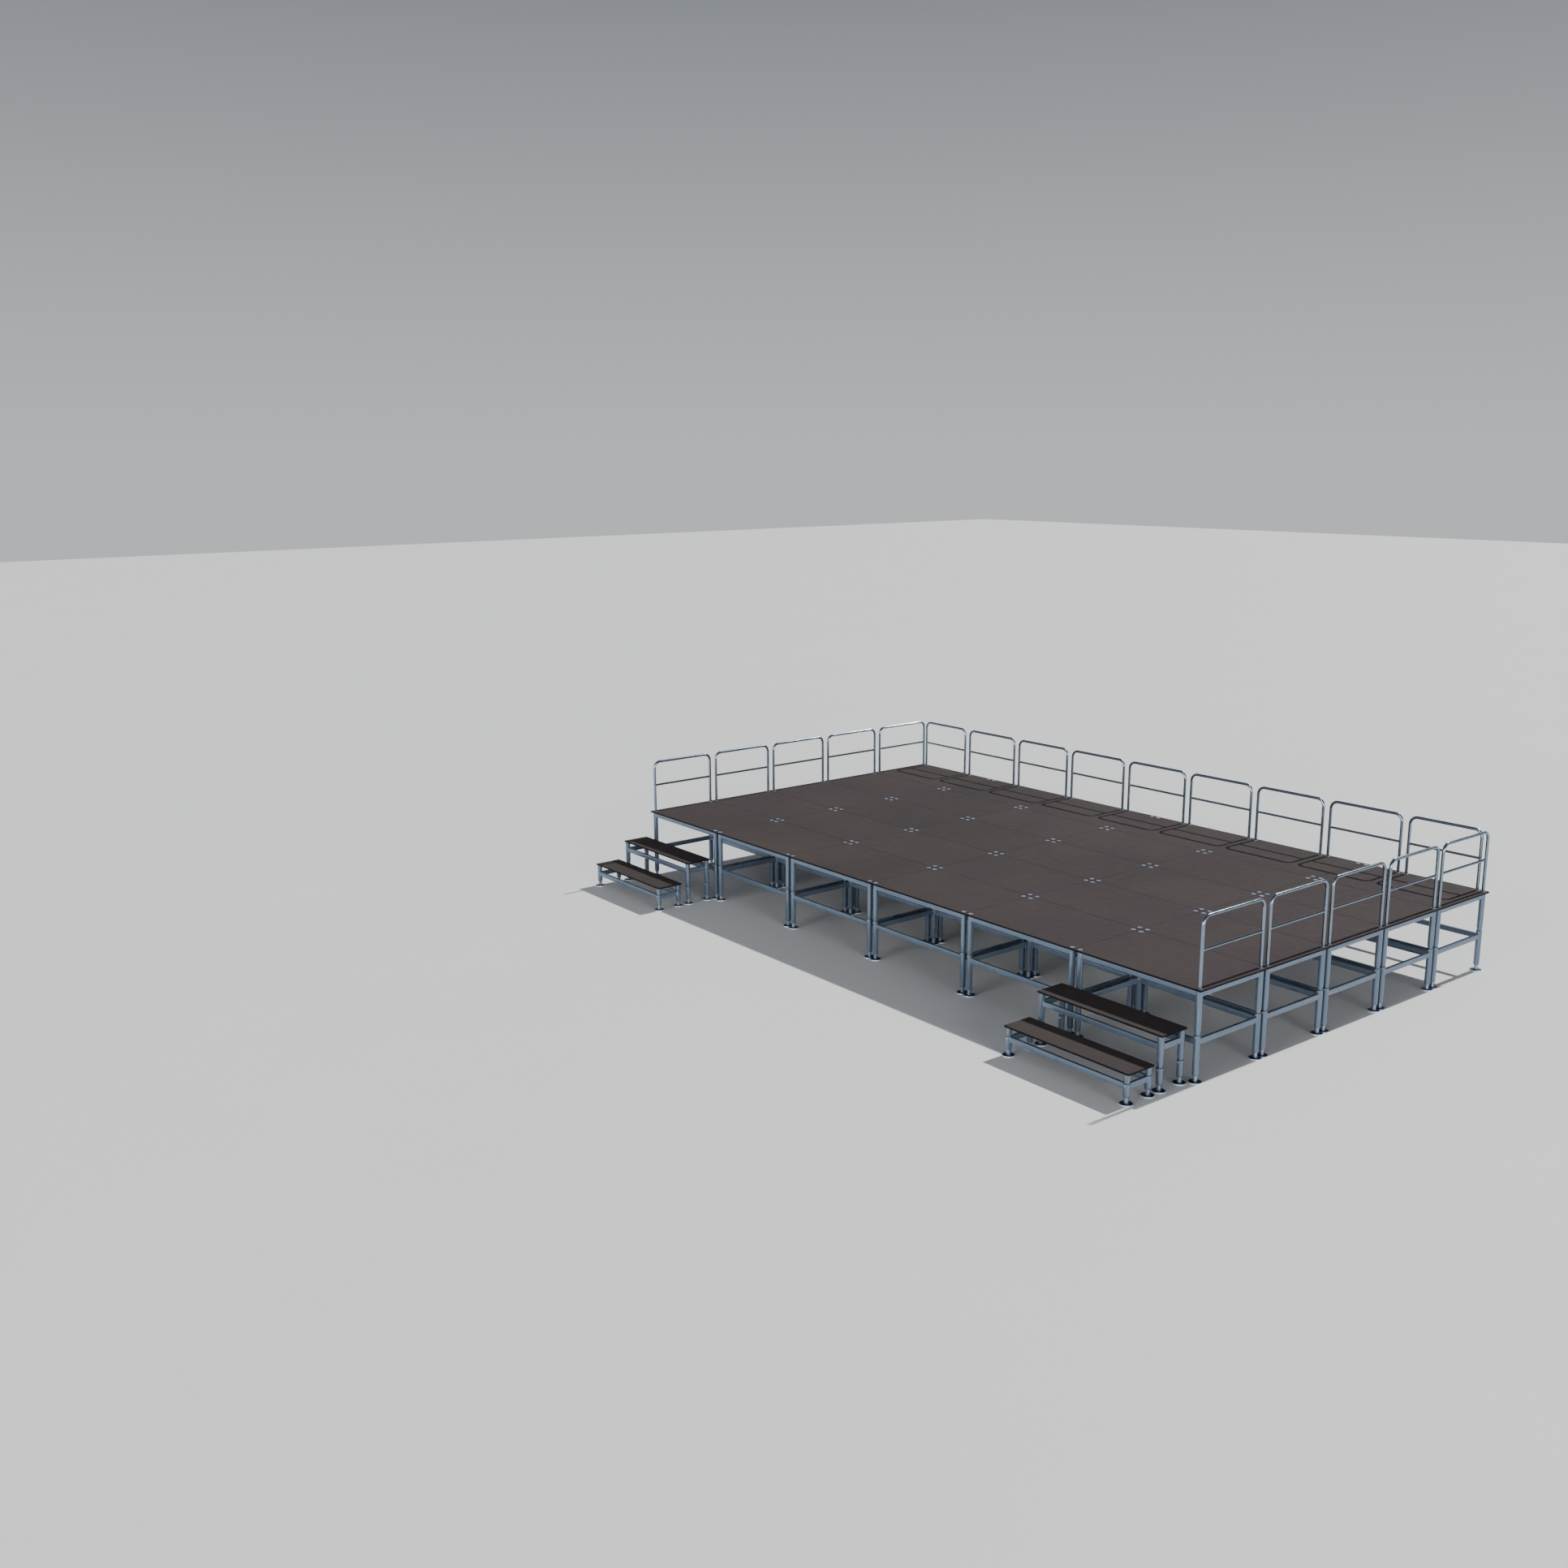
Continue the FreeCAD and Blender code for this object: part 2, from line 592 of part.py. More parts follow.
def bent_tube(name, spacing):
    """Inverted U of round tube, from the foot of one post over the top to the other."""
    body = new_body(name)
    path = new_sketch(body, f"{name}_path", "XZ_Plane")
    width = size("rail_spacing")
    top = size("rail_height") + size("socket_depth")
    bend = size("rail_bend")
    quarter = math.pi / 2
    left = Part.LineSegment(Vector(0, 0, 0), Vector(0, top - bend, 0))
    first_bend = Part.ArcOfCircle(Part.Circle(Vector(bend, top - bend, 0), Vector(0, 0, 1), bend),
                                  quarter, 2 * quarter)
    bar = Part.LineSegment(Vector(bend, top, 0), Vector(width - bend, top, 0))
    second_circle = Part.Circle(Vector(width - bend, top - bend, 0), Vector(0, 0, 1), bend)
    second_bend = Part.ArcOfCircle(second_circle, 0, quarter)
    right = Part.LineSegment(Vector(width, top - bend, 0), Vector(width, 0, 0))
    for piece in (left, first_bend, bar, second_bend, right):
        path.addGeometry(piece, False)
    for joint in ((0, 2, 1, 2), (1, 1, 2, 1), (2, 2, 3, 2), (3, 1, 4, 1)):
        path.addConstraint(Sketcher.Constraint("Tangent", *joint))
    path.addConstraint(Sketcher.Constraint("Coincident", 0, 1, -1, 1))
    path.addConstraint(Sketcher.Constraint("Vertical", 0))
    path.addConstraint(Sketcher.Constraint("Vertical", 4))
    path.addConstraint(Sketcher.Constraint("PointOnObject", 4, 2, -1))
    path.addConstraint(Sketcher.Constraint("Equal", 1, 3))
    for kind, where, number, text in (
        ("DistanceX", (0, 1, 4, 2), width, spacing),
        ("DistanceY", (0, 1, 2, 1), top, "{rail_height} + {socket_depth}"),
        ("Radius", (1,), bend, "{rail_bend}"),
    ):
        index = path.addConstraint(Sketcher.Constraint(kind, *where, number))
        path.setExpression(f"Constraints[{index}]", bound(text))
    section = new_sketch(body, f"{name}_section", "XY_Plane")
    draw_circle(section, "0", "0", "{rail_diameter}")
    draw_circle(section, "0", "0", "{rail_diameter} - 2 * {rail_wall}")
    doc.recompute()
    pipe = body.newObject("PartDesign::AdditivePipe", f"{name}_pipe")
    pipe.Profile = section
    pipe.Spine = (path, [])
    doc.recompute()
    return body


def mid_rail(name, spacing):
    """Straight tube between the two posts, coped to them."""
    body = new_body(name)
    section = new_sketch(body, f"{name}_section", "YZ_Plane")
    height = "{mid_rail_height} + {socket_depth}"
    draw_circle(section, "0", height, "{mid_rail_diameter}")
    draw_circle(section, "0", height, "{mid_rail_diameter} - 2 * {rail_wall}")
    pad(body, section, spacing)
    cope = new_sketch(body, f"{name}_cope", "XY_Plane")
    draw_circle(cope, "0", "0", "{rail_diameter}")
    draw_circle(cope, spacing, "0", "{rail_diameter}")
    cut_through(body, cope)
    return body


def add_guard_rails():
    bottom = DECK - size("socket_depth")
    full = "{rail_spacing}"
    short = "{rail_spacing} - {corner_shift}"
    shapes = {}
    for name, text in (("rail", full), ("corner_rail", short)):
        tube = bent_tube(f"{name}_tube", text)
        bar = mid_rail(f"{name}_bar", text)
        shapes[name] = (tube.Shape, bar.Shape)
    for name, x, y, turned, width in rail_places():
        kind = "rail" if width == size("rail_spacing") else "corner_rail"
        add_node(name, [moved(shape, x, y, bottom, turned) for shape in shapes[kind]])


# ---------------------------------------------------------------- step tables

def add_table(name, level, middle_x, middle_y, foot, board, cap):
    """Free-standing step: tread board, four telescopic legs, a ring of braces and four feet."""
    top = "{" + level + "_tread_top}"
    joint = "{" + level + "_joint}"
    neck = "{" + level + "_neck}"
    reach_x = size("tread_length") / 2 - size("tread_leg_inset_x")
    reach_y = size("tread_depth") / 2 - size("tread_leg_inset_y")
    legs = [(middle_x + side_x * reach_x, middle_y + side_y * reach_y)
            for side_x in (-1, 1) for side_y in (-1, 1)]
    under = f"{top} - {{board_thickness}}"
    tube = leg_tube_body(f"{name}_tube", under, f"{joint} + {neck}", "{table_tube_end}",
                         plated_head(under))
    sleeve = sleeve_body(f"{name}_sleeve", joint)
    on_sleeve = level == "lower"
    cope = "{sleeve_diameter}" if on_sleeve else "{tube_diameter}"
    sections = ("{brace_width}", "{brace_depth}", "{brace_wall}", cope)
    long_bar = bar_body(f"{name}_long", "{tread_length} - 2 * {tread_leg_inset_x}", *sections)
    cross_bar = bar_body(f"{name}_cross", "{tread_depth} - 2 * {tread_leg_inset_y}", *sections)
    half = size("brace_width") / 2
    bottom = size(f"{level}_brace_bottom")
    tread_top = size(f"{level}_tread_top")
    braces = [moved(long_bar.Shape, middle_x - reach_x, middle_y + side * reach_y - half, bottom)
              for side in (-1, 1)]
    braces += [moved(cross_bar.Shape, middle_x + side * reach_x + half, middle_y - reach_y,
                     bottom, 90) for side in (-1, 1)]
    corner_x = middle_x - size("tread_length") / 2
    corner_y = middle_y - size("tread_depth") / 2
    underside = tread_top - size("board_thickness")
    add_node(f"{name}_tread", [moved(board.Shape, corner_x, corner_y, underside)])
    bolt_end = tread_top - size("tread_cap_height") - size("tread_bolt_length")
    add_node(f"{name}_tread_caps", [moved(cap.Shape, x, y, bolt_end) for x, y in legs])
    add_node(f"{name}_leg_tubes", [moved(tube.Shape, x, y) for x, y in legs])
    add_node(f"{name}_leg_sleeves", [moved(sleeve.Shape, x, y) for x, y in legs])
    add_node(f"{name}_braces", braces)
    add_node(f"{name}_feet", [moved(foot.Shape, x, y) for x, y in legs])


def add_step_tables(foot):
    board = board_body("tread_board", "{tread_length}", "{tread_depth}", "0",
                       "{tread_leg_inset_x}", "{tread_leg_inset_y}", "{tread_cap_shank}",
                       "{tread_cap_diameter}", "{tread_cap_height}")
    shank = "{tread_cap_shank} / 2"
    head = "{tread_cap_diameter} / 2"
    face = "{tread_bolt_length} + {tread_cap_height}"
    cap = turned_body("tread_cap", [
        ("0", "0"), (shank, "0"), (shank, "{tread_bolt_length}"), (head, "{tread_bolt_length}"),
        (head, face), ("0", face),
    ])
    for side in ("left", "right"):
        for level in ("lower", "upper"):
            add_table(f"{side}_{level}", level, size(f"{side}_flight_x"), size(f"{level}_table_y"),
                      foot, board, cap)


# ---------------------------------------------------------------- build, test and write

def check_document():
    """Stop if any object failed or any sub-part is empty or broken."""
    for item in doc.Objects:
        if "Invalid" in item.State or "Error" in item.State:
            raise RuntimeError(f"{item.Label}: {item.State}")
    for name, item in nodes.items():
        if item.Shape.isNull() or not item.Shape.isValid() or not item.Shape.Solids:
            raise RuntimeError(f"{name} has no valid solid")


def write_parts():
    os.makedirs("parts", exist_ok=True)
    for name, item in nodes.items():
        item.Shape.exportStep(f"parts/{name}.step")
        print(name, len(item.Shape.Solids), "solids", round(item.Shape.Volume / 1000), "cm3")


def main():
    foot = foot_body()
    add_deck_boards()
    add_beams()
    add_module_clamps()
    add_stage_legs(foot)
    add_stage_braces()
    add_sockets()
    add_guard_rails()
    add_step_tables(foot)
    doc.recompute()
    check_document()
    write_parts()


main()
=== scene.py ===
"""Looks of the modular stage riser: boards, frame, legs, feet, guard rails and two flights of steps."""
import math

import bpy
from mathutils import Matrix, Quaternion, Vector


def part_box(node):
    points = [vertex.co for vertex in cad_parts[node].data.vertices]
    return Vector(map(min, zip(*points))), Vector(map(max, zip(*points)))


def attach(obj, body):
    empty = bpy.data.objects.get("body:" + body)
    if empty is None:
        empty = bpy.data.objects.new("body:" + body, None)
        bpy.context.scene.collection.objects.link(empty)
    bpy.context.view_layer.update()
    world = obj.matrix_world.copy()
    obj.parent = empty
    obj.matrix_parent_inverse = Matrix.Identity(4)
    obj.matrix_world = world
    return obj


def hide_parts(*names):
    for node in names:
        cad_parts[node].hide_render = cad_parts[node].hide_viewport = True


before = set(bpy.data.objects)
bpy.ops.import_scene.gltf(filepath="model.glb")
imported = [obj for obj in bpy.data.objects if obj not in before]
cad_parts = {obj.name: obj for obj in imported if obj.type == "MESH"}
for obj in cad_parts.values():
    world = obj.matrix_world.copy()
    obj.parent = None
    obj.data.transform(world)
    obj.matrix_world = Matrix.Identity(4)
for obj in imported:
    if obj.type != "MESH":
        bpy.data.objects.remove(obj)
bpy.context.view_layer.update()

# ---------------------------------------------------------------- sizes, in metres

MODULES_ALONG = 6
MODULES_DEEP = 5
BOARD_SEAM = 0.002
CLOSED_SEAM = 0.0004
BOARD_BEVEL = 0.0028
BOARD_CORNER = 0.003
TREAD_CAP_RADIUS = 0.020
TREAD_CAP_HEIGHT = 0.016

TUBE_RADIUS = 0.030
TUBE_BORE = 0.026
NECK_RADIUS = 0.0255
NECK_BORE = 0.0215
NECK_TAPER = 0.025
STAGE_NECK = 0.021
LOWER_TABLE_NECK = 0.014
UPPER_TABLE_NECK = 0.024
END_PLATE = 0.008
END_PLATE_HOLE = 0.0061
SLEEVE_RADIUS = 0.0305
SLEEVE_BORE = 0.02558
NOSE_RADIUS = 0.026
NOSE_HEIGHT = 0.016
BUTTON_BELOW_MOUTH = 0.017
BUTTON_SUNK = 0.0008

PAD_RADIUS = 0.062
PAD_THICKNESS = 0.010
HUB_RADIUS = 0.027
HUB_TOP = 0.017
SCREW_RADIUS = 0.021
THREAD_PITCH = 0.006
THREAD_DEPTH = 0.0017
NUT_HEIGHT = 0.026
FOOT_TRAVEL = 0.030

BEAM_WIDTH = 0.042
BEAM_WALL = 0.002
BRACE_WIDTH = 0.030
BRACE_WALL = 0.0025
BAR_CORNER = 0.0025
WELD_RADIUS = 0.0022
WELD_RIPPLE = 0.14
BOLT_RADIUS = 0.0059
BOLT_HEAD_RADIUS = 0.0098
BOLT_HEAD = 0.008

SOCKET_BORE = 0.0172
SOCKET_FLOOR = 0.006
LEG_BUSH_NECK = 0.0219
BEAM_BUSH_RADIUS = 0.0188
FLANGE_RADIUS = 0.025
FLANGE_HEIGHT = 0.002
SOCKET_CAP_RADIUS = 0.0170

RAIL_RADIUS = 0.01685
RAIL_WALL = 0.0026
RAIL_BEND = 0.085
MID_RAIL_RADIUS = 0.01345
MID_RAIL_ABOVE_DECK = 0.357

SLIDING_GAP = 0.0001
SEAT_CLEARANCE = 0.0002
FINE_CUT = 0.0008

# How many flat sides stand for a full circle.
ROUND = 48
SMALL_ROUND = 24
HOLE_SIDES = 32
PAD_SIDES = 72

# Edges that turn by more than these degrees are shaded as sharp.
SHARP_ANGLE = 32

DECK_LOW, DECK_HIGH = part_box("deck_boards")
STAGE_X = DECK_LOW.x - BOARD_SEAM / 2
STAGE_Y = DECK_LOW.y - BOARD_SEAM / 2
MODULE_X = (DECK_HIGH.x - DECK_LOW.x + BOARD_SEAM) / MODULES_ALONG
MODULE_Y = (DECK_HIGH.y - DECK_LOW.y + BOARD_SEAM) / MODULES_DEEP
DECK_TOP = DECK_HIGH.z
DECK_UNDERSIDE = DECK_LOW.z
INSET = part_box("leg_sleeves")[0].x + SLEEVE_RADIUS - STAGE_X
TABLES = ("left_lower", "left_upper", "right_lower", "right_upper")
RAILS = sorted(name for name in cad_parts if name.startswith("guard_rail"))


# ---------------------------------------------------------------- shapes

class Shape:
    """Points and faces of a piece, with a material number for every face."""

    def __init__(self):
        self.points = []
        self.faces = []
        self.numbers = []

    def add(self, points, faces, number=0):
        """Add points, and faces that count from the first of these points."""
        start = len(self.points)
        self.points.extend(Vector(point) for point in points)
        self.faces.extend(tuple(start + corner for corner in face) for face in faces)
        self.numbers.extend([number] * len(faces))
        return self

    def add_shape(self, other, matrix=None):
        """Add a copy of another shape, moved by the matrix if there is one."""
        start = len(self.points)
        self.points.extend(other.points if matrix is None else [matrix @ point for point in other.points])
        self.faces.extend(tuple(start + corner for corner in face) for face in other.faces)
        self.numbers.extend(other.numbers)
        return self


def at(x, y, z=0.0, turned=0.0):
    """Matrix that turns a shape about Z by that many degrees and then moves it there."""
    return Matrix.Translation((x, y, z)) @ Matrix.Rotation(math.radians(turned), 4, "Z")


def copies(shape, matrices):
    """One shape made of a copy of the given shape at every matrix."""
    group = Shape()
    for matrix in matrices:
        group.add_shape(shape, matrix)
    return group


def circle(radius, sides=ROUND):
    """Points of a circle about the origin, counter-clockwise."""
    angles = [math.tau * side / sides for side in range(sides)]
    return [(radius * math.cos(angle), radius * math.sin(angle)) for angle in angles]


def band(first, second):
    """Faces between two closed loops of equally many points; a loop may be one point, repeated."""
    faces = []
    for here in range(len(first)):
        after = (here + 1) % len(first)
        face = tuple(dict.fromkeys((first[here], first[after], second[after], second[here])))
        if len(face) > 2:
            faces.append(face)
    return faces


def softened(outline, cut=FINE_CUT):
    """The closed outline with every corner off the axis cut back a little, to catch the light."""
    corners = list(dict.fromkeys(outline))
    result = []
    for number, (radius, height) in enumerate(corners):
        here = Vector((radius, height))
        before = Vector(corners[number - 1]) - here
        after = Vector(corners[(number + 1) % len(corners)]) - here
        shortest = min(before.length, after.length)
        if radius <= 0 or shortest < 2.5 * cut:
            result.append(tuple(here))
            continue
        result.append(tuple(here + before.normalized() * cut))
        result.append(tuple(here + after.normalized() * cut))
    return result


def lathe(outline, sides=ROUND, number=0):
    """Solid of revolution about Z from a closed outline of (radius, height), drawn counter-clockwise."""
    points = []
    rings = []
    for radius, height in outline:
        start = len(points)
        if radius <= 0:
            points.append((0, 0, height))
            rings.append([start] * sides)
            continue
        points += [(x, y, height) for x, y in circle(radius, sides)]
        rings.append(range(start, start + sides))
    faces = []
    for ring, above in zip(rings, rings[1:] + rings[:1]):
        faces += band(ring, above)
    return Shape().add(points, faces, number)


def rounded_section(width, depth, radius, steps=4):
    """Corner-rounded rectangle centred across, standing on zero, as (across, up) points."""
    points = []
    corners = (
        (width / 2 - radius, radius, -90), (width / 2 - radius, depth - radius, 0),
        (radius - width / 2, depth - radius, 90), (radius - width / 2, radius, 180),
    )
    for across, up, first in corners:
        for step in range(steps + 1):
            angle = math.radians(first + 90 * step / steps)
            points.append((across + radius * math.cos(angle), up + radius * math.sin(angle)))
    return points


def coped_bar(span, section, hollow, leg_radius):
    """Hollow bar along X between two leg axes, its ends shaped to fit round the legs."""
    points = []
    loops = []
    for loop in (section, hollow):
        for at_far_end in (False, True):
            start = len(points)
            points += coped_end(loop, span, at_far_end, leg_radius)
            loops.append(range(start, len(points)))
    outer_near, outer_far, inner_near, inner_far = loops
    faces = band(outer_near, outer_far) + band(inner_far, inner_near)
    faces += end_faces(points, outer_near, inner_near)
    faces += [face[::-1] for face in end_faces(points, outer_far, inner_far)]
    return Shape().add(points, faces)


def coped_end(section, span, at_far_end, leg_radius):
    """The points where a section, given as (across, up), meets the round leg at that end of the bar."""
    points = []
    for across, up in section:
        reach = math.sqrt(leg_radius ** 2 - across ** 2)
        points.append((span - reach if at_far_end else reach, across, up))
    return points


def end_faces(points, outer, inner):
    """Faces between an outer and an inner loop that may have different numbers of points."""
    middle = sum((Vector(points[index]) for index in inner), Vector()) / len(inner)

    def angle(index):
        return math.atan2(points[index][2] - middle.z, points[index][1])

    outer = sorted(outer, key=angle)
    inner = sorted(inner, key=angle)
    faces = []
    outer_done = inner_done = 0
    while outer_done < len(outer) or inner_done < len(inner):
        here_outer = outer[outer_done % len(outer)]
        here_inner = inner[inner_done % len(inner)]
        outer_is_next = outer_done < len(outer) and angle(here_outer) <= angle(here_inner)
        if inner_done >= len(inner) or outer_is_next:
            outer_done += 1
            faces.append((here_inner, outer[outer_done % len(outer)], here_outer))
        else:
            inner_done += 1
            faces.append((here_inner, inner[inner_done % len(inner)], here_outer))
    return faces


def bead(path, sides=6):
    """Rippled weld bead round the end of a bar along X, on a closed path of (point, outward) pairs."""
    points = []
    for step, (point, outward) in enumerate(path):
        size = WELD_RADIUS * (1 + WELD_RIPPLE * math.sin(step * 2.4))
        points += [point + outward * out + Vector((along, 0, 0)) for out, along in circle(size, sides)]
    rings = [range(start, start + sides) for start in range(0, len(points), sides)]
    faces = []
    for ring, ahead in zip(rings, rings[1:] + rings[:1]):
        faces += band(ahead, ring)
    return Shape().add(points, faces, 1)


def bar_weld(span, section, leg_radius):
    """The two weld beads that hold a coped bar to its legs, in the bar's second material."""
    welds = Shape()
    middle = sum(up for _, up in section) / len(section)
    for at_far_end in (False, True):
        points = [Vector(point) for point in coped_end(section, span, at_far_end, leg_radius)]
        path = [(point, Vector((0, point.y, point.z - middle)).normalized()) for point in points]
        welds.add_shape(bead(path))
    return welds


def tube_along(path, side, radius, bore):
    """Hollow round tube along a flat path; side is the direction square to the path's plane."""
    points = []
    rings = []
    for size in (radius, bore):
        for number, centre in enumerate(path):
            ahead = path[min(number + 1, len(path) - 1)] - path[max(number - 1, 0)]
            across = side.cross(ahead).normalized()
            rings.append(range(len(points), len(points) + ROUND))
            points += [centre + across * x + side * y for x, y in circle(size)]
    outer, inner = rings[:len(path)], rings[len(path):]
    faces = band(inner[0], outer[0]) + band(outer[-1], inner[-1])
    for near, far in zip(outer, outer[1:]):
        faces += band(near, far)
    for near, far in zip(inner, inner[1:]):
        faces += band(far, near)
    return Shape().add(points, faces)


def thread(bottom, top, radius, steps=32):
    """Helical thread on a screw of that outer radius, between two heights."""
    root = radius - THREAD_DEPTH
    profile = ((0.0, root), (0.22, radius), (0.5, radius), (0.72, root))
    turns = (top - bottom) / THREAD_PITCH - 1
    count = int(turns * steps)
    width = len(profile)
    points = []
    for step in range(count + steps + 1):
        angle = math.tau * step / steps
        rise = bottom + THREAD_PITCH * step / steps
        for share, size in profile:
            height = min(rise + share * THREAD_PITCH, top)
            points.append((size * math.cos(angle), size * math.sin(angle), height))
    faces = []
    for step in range(count):
        for part in range(width):
            near = step * width + part
            above = near + 1 if part + 1 < width else (step + steps) * width
            faces.append((near, near + width, above + width, above))
    return Shape().add(points, faces)


def board_outline(length, depth, bevel):
    """Corner-rounded rectangle, drawn inside the board's edge by the width of the bevel."""
    outline = []
    for x, y, first in ((length, 0, -90), (length, depth, 0), (0, depth, 90), (0, 0, 180)):
        middle_x = abs(x - bevel - BOARD_CORNER)
        middle_y = abs(y - bevel - BOARD_CORNER)
        for step in range(5):
            angle = math.radians(first + 90 * step / 4)
            outline.append((middle_x + BOARD_CORNER * math.cos(angle),
                            middle_y + BOARD_CORNER * math.sin(angle)))
    return outline


def board(length, depth, thickness, holes, bevel=BOARD_BEVEL):
    """Flat board from its lower left corner, with round holes, bevelled edges and a dark rim."""
    curve = bpy.data.curves.new("board_outline", "CURVE")
    curve.dimensions = "2D"
    curve.fill_mode = "BOTH"
    curve.extrude = thickness / 2 - bevel
    curve.bevel_depth = bevel
    curve.bevel_resolution = 1
    loops = [board_outline(length, depth, bevel)]
    for x, y, radius in holes:
        loops.append([(x + across, y + up) for across, up in circle(radius + bevel, HOLE_SIDES)])
    for loop in loops:
        spline = curve.splines.new("POLY")
        spline.points.add(len(loop) - 1)
        for number, (x, y) in enumerate(loop):
            spline.points[number].co = (x, y, 0, 1)
        spline.use_cyclic_u = True
    holder = bpy.data.objects.new("board_outline", curve)
    mesh = bpy.data.meshes.new_from_object(holder)
    shape = Shape()
    shape.points = [vertex.co + Vector((0, 0, thickness / 2)) for vertex in mesh.vertices]
    for polygon in mesh.polygons:
        is_flat = abs(polygon.normal.z) > 0.98
        shape.faces.append(tuple(polygon.vertices))
        shape.numbers.append(0 if is_flat else 1)
    bpy.data.objects.remove(holder)
    bpy.data.curves.remove(curve)
    bpy.data.meshes.remove(mesh)
    return shape


def make_piece(name, shape, materials, body, replaced=()):
    """Turn a shape into an object that rides on a CAD body and may stand for CAD nodes."""
    mesh = bpy.data.meshes.new(name)
    mesh.from_pydata([tuple(point) for point in shape.points], [], shape.faces)
    for material in materials:
        mesh.materials.append(material)
    mesh.polygons.foreach_set("material_index", shape.numbers)
    mesh.polygons.foreach_set("use_smooth", [True] * len(shape.faces))
    mesh.validate()
    mesh.set_sharp_from_angle(angle=math.radians(SHARP_ANGLE))
    mesh.update()
    piece = bpy.data.objects.new(name, mesh)
    bpy.context.scene.collection.objects.link(piece)
    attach(piece, body)
    if replaced:
        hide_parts(*replaced)
    return piece


# ---------------------------------------------------------------- materials

class Nodes:
    """A short way to write a material's node tree."""

    def __init__(self, name, metallic, roughness):
        self.material = bpy.data.materials.new(name)
        self.material.use_nodes = True
        self.tree = self.material.node_tree
        self.shader = self.tree.nodes["Principled BSDF"]
        self.shader.inputs["Metallic"].default_value = metallic
        self.shader.inputs["Roughness"].default_value = roughness
        self.place = self.tree.nodes.new("ShaderNodeTexCoord").outputs["Object"]

    def node(self, kind, settings=None, **inputs):
        """Add a node with its own settings, and with a value or a link for each named input."""
        made = self.tree.nodes.new(kind)
        for key, value in (settings or {}).items():
            setattr(made, key, value)
        for key, value in inputs.items():
            self.feed(made.inputs[key.replace("_", " ")], value)
        return made

    def feed(self, socket, value):
        """Link another node's output to the socket, or set a constant on it."""
        if isinstance(value, bpy.types.NodeSocket):
            self.tree.links.new(value, socket)
        else:
            socket.default_value = value

    def stretched(self, scale):
        """The object's coordinates, scaled by an amount per axis."""
        made = self.node("ShaderNodeMapping", Vector=self.place)
        made.inputs["Scale"].default_value = scale
        return made.outputs["Vector"]

    def noise(self, scale, detail=3.0, roughness=0.5, place=None):
        """Smooth noise between 0 and 1."""
        return self.node("ShaderNodeTexNoise", Vector=place or self.place, Scale=scale,
                         Detail=detail, Roughness=roughness).outputs["Fac"]

    def cells(self, scale, feature="F1", place=None, output="Distance"):
        """Voronoi cells: how far a point is from a cell's middle or edge, or a colour per cell."""
        return self.node("ShaderNodeTexVoronoi", {"feature": feature}, Vector=place or self.place,
                         Scale=scale).outputs[output]

    def spread(self, value, low, high, to_low, to_high):
        """A value's range from low to high, spread over another range and held inside it."""
        made = self.node("ShaderNodeMapRange", Value=value)
        for key, number in (("From Min", low), ("From Max", high),
                            ("To Min", to_low), ("To Max", to_high)):
            made.inputs[key].default_value = number
        return made.outputs["Result"]

    def blended(self, share, first, second):
        """Colour between the first one, at share 0, and the second, at share 1."""
        made = self.node("ShaderNodeMix", {"data_type": "RGBA"})
        self.feed(made.inputs[0], share)
        self.feed(made.inputs[6], first)
        self.feed(made.inputs[7], second)
        return made.outputs[2]

    def sum(self, first, second, operation="ADD"):
        """The two values added, or put together by another named operation."""
        made = self.node("ShaderNodeMath", {"operation": operation})
        self.feed(made.inputs[0], first)
        self.feed(made.inputs[1], second)
        return made.outputs[0]

    def colour(self, value):
        self.feed(self.shader.inputs["Base Color"], value)

    def rough(self, value):
        self.feed(self.shader.inputs["Roughness"], value)

    def bump(self, value, strength, distance):
        made = self.node("ShaderNodeBump", Height=value, Strength=strength, Distance=distance)
        self.feed(self.shader.inputs["Normal"], made.outputs["Normal"])


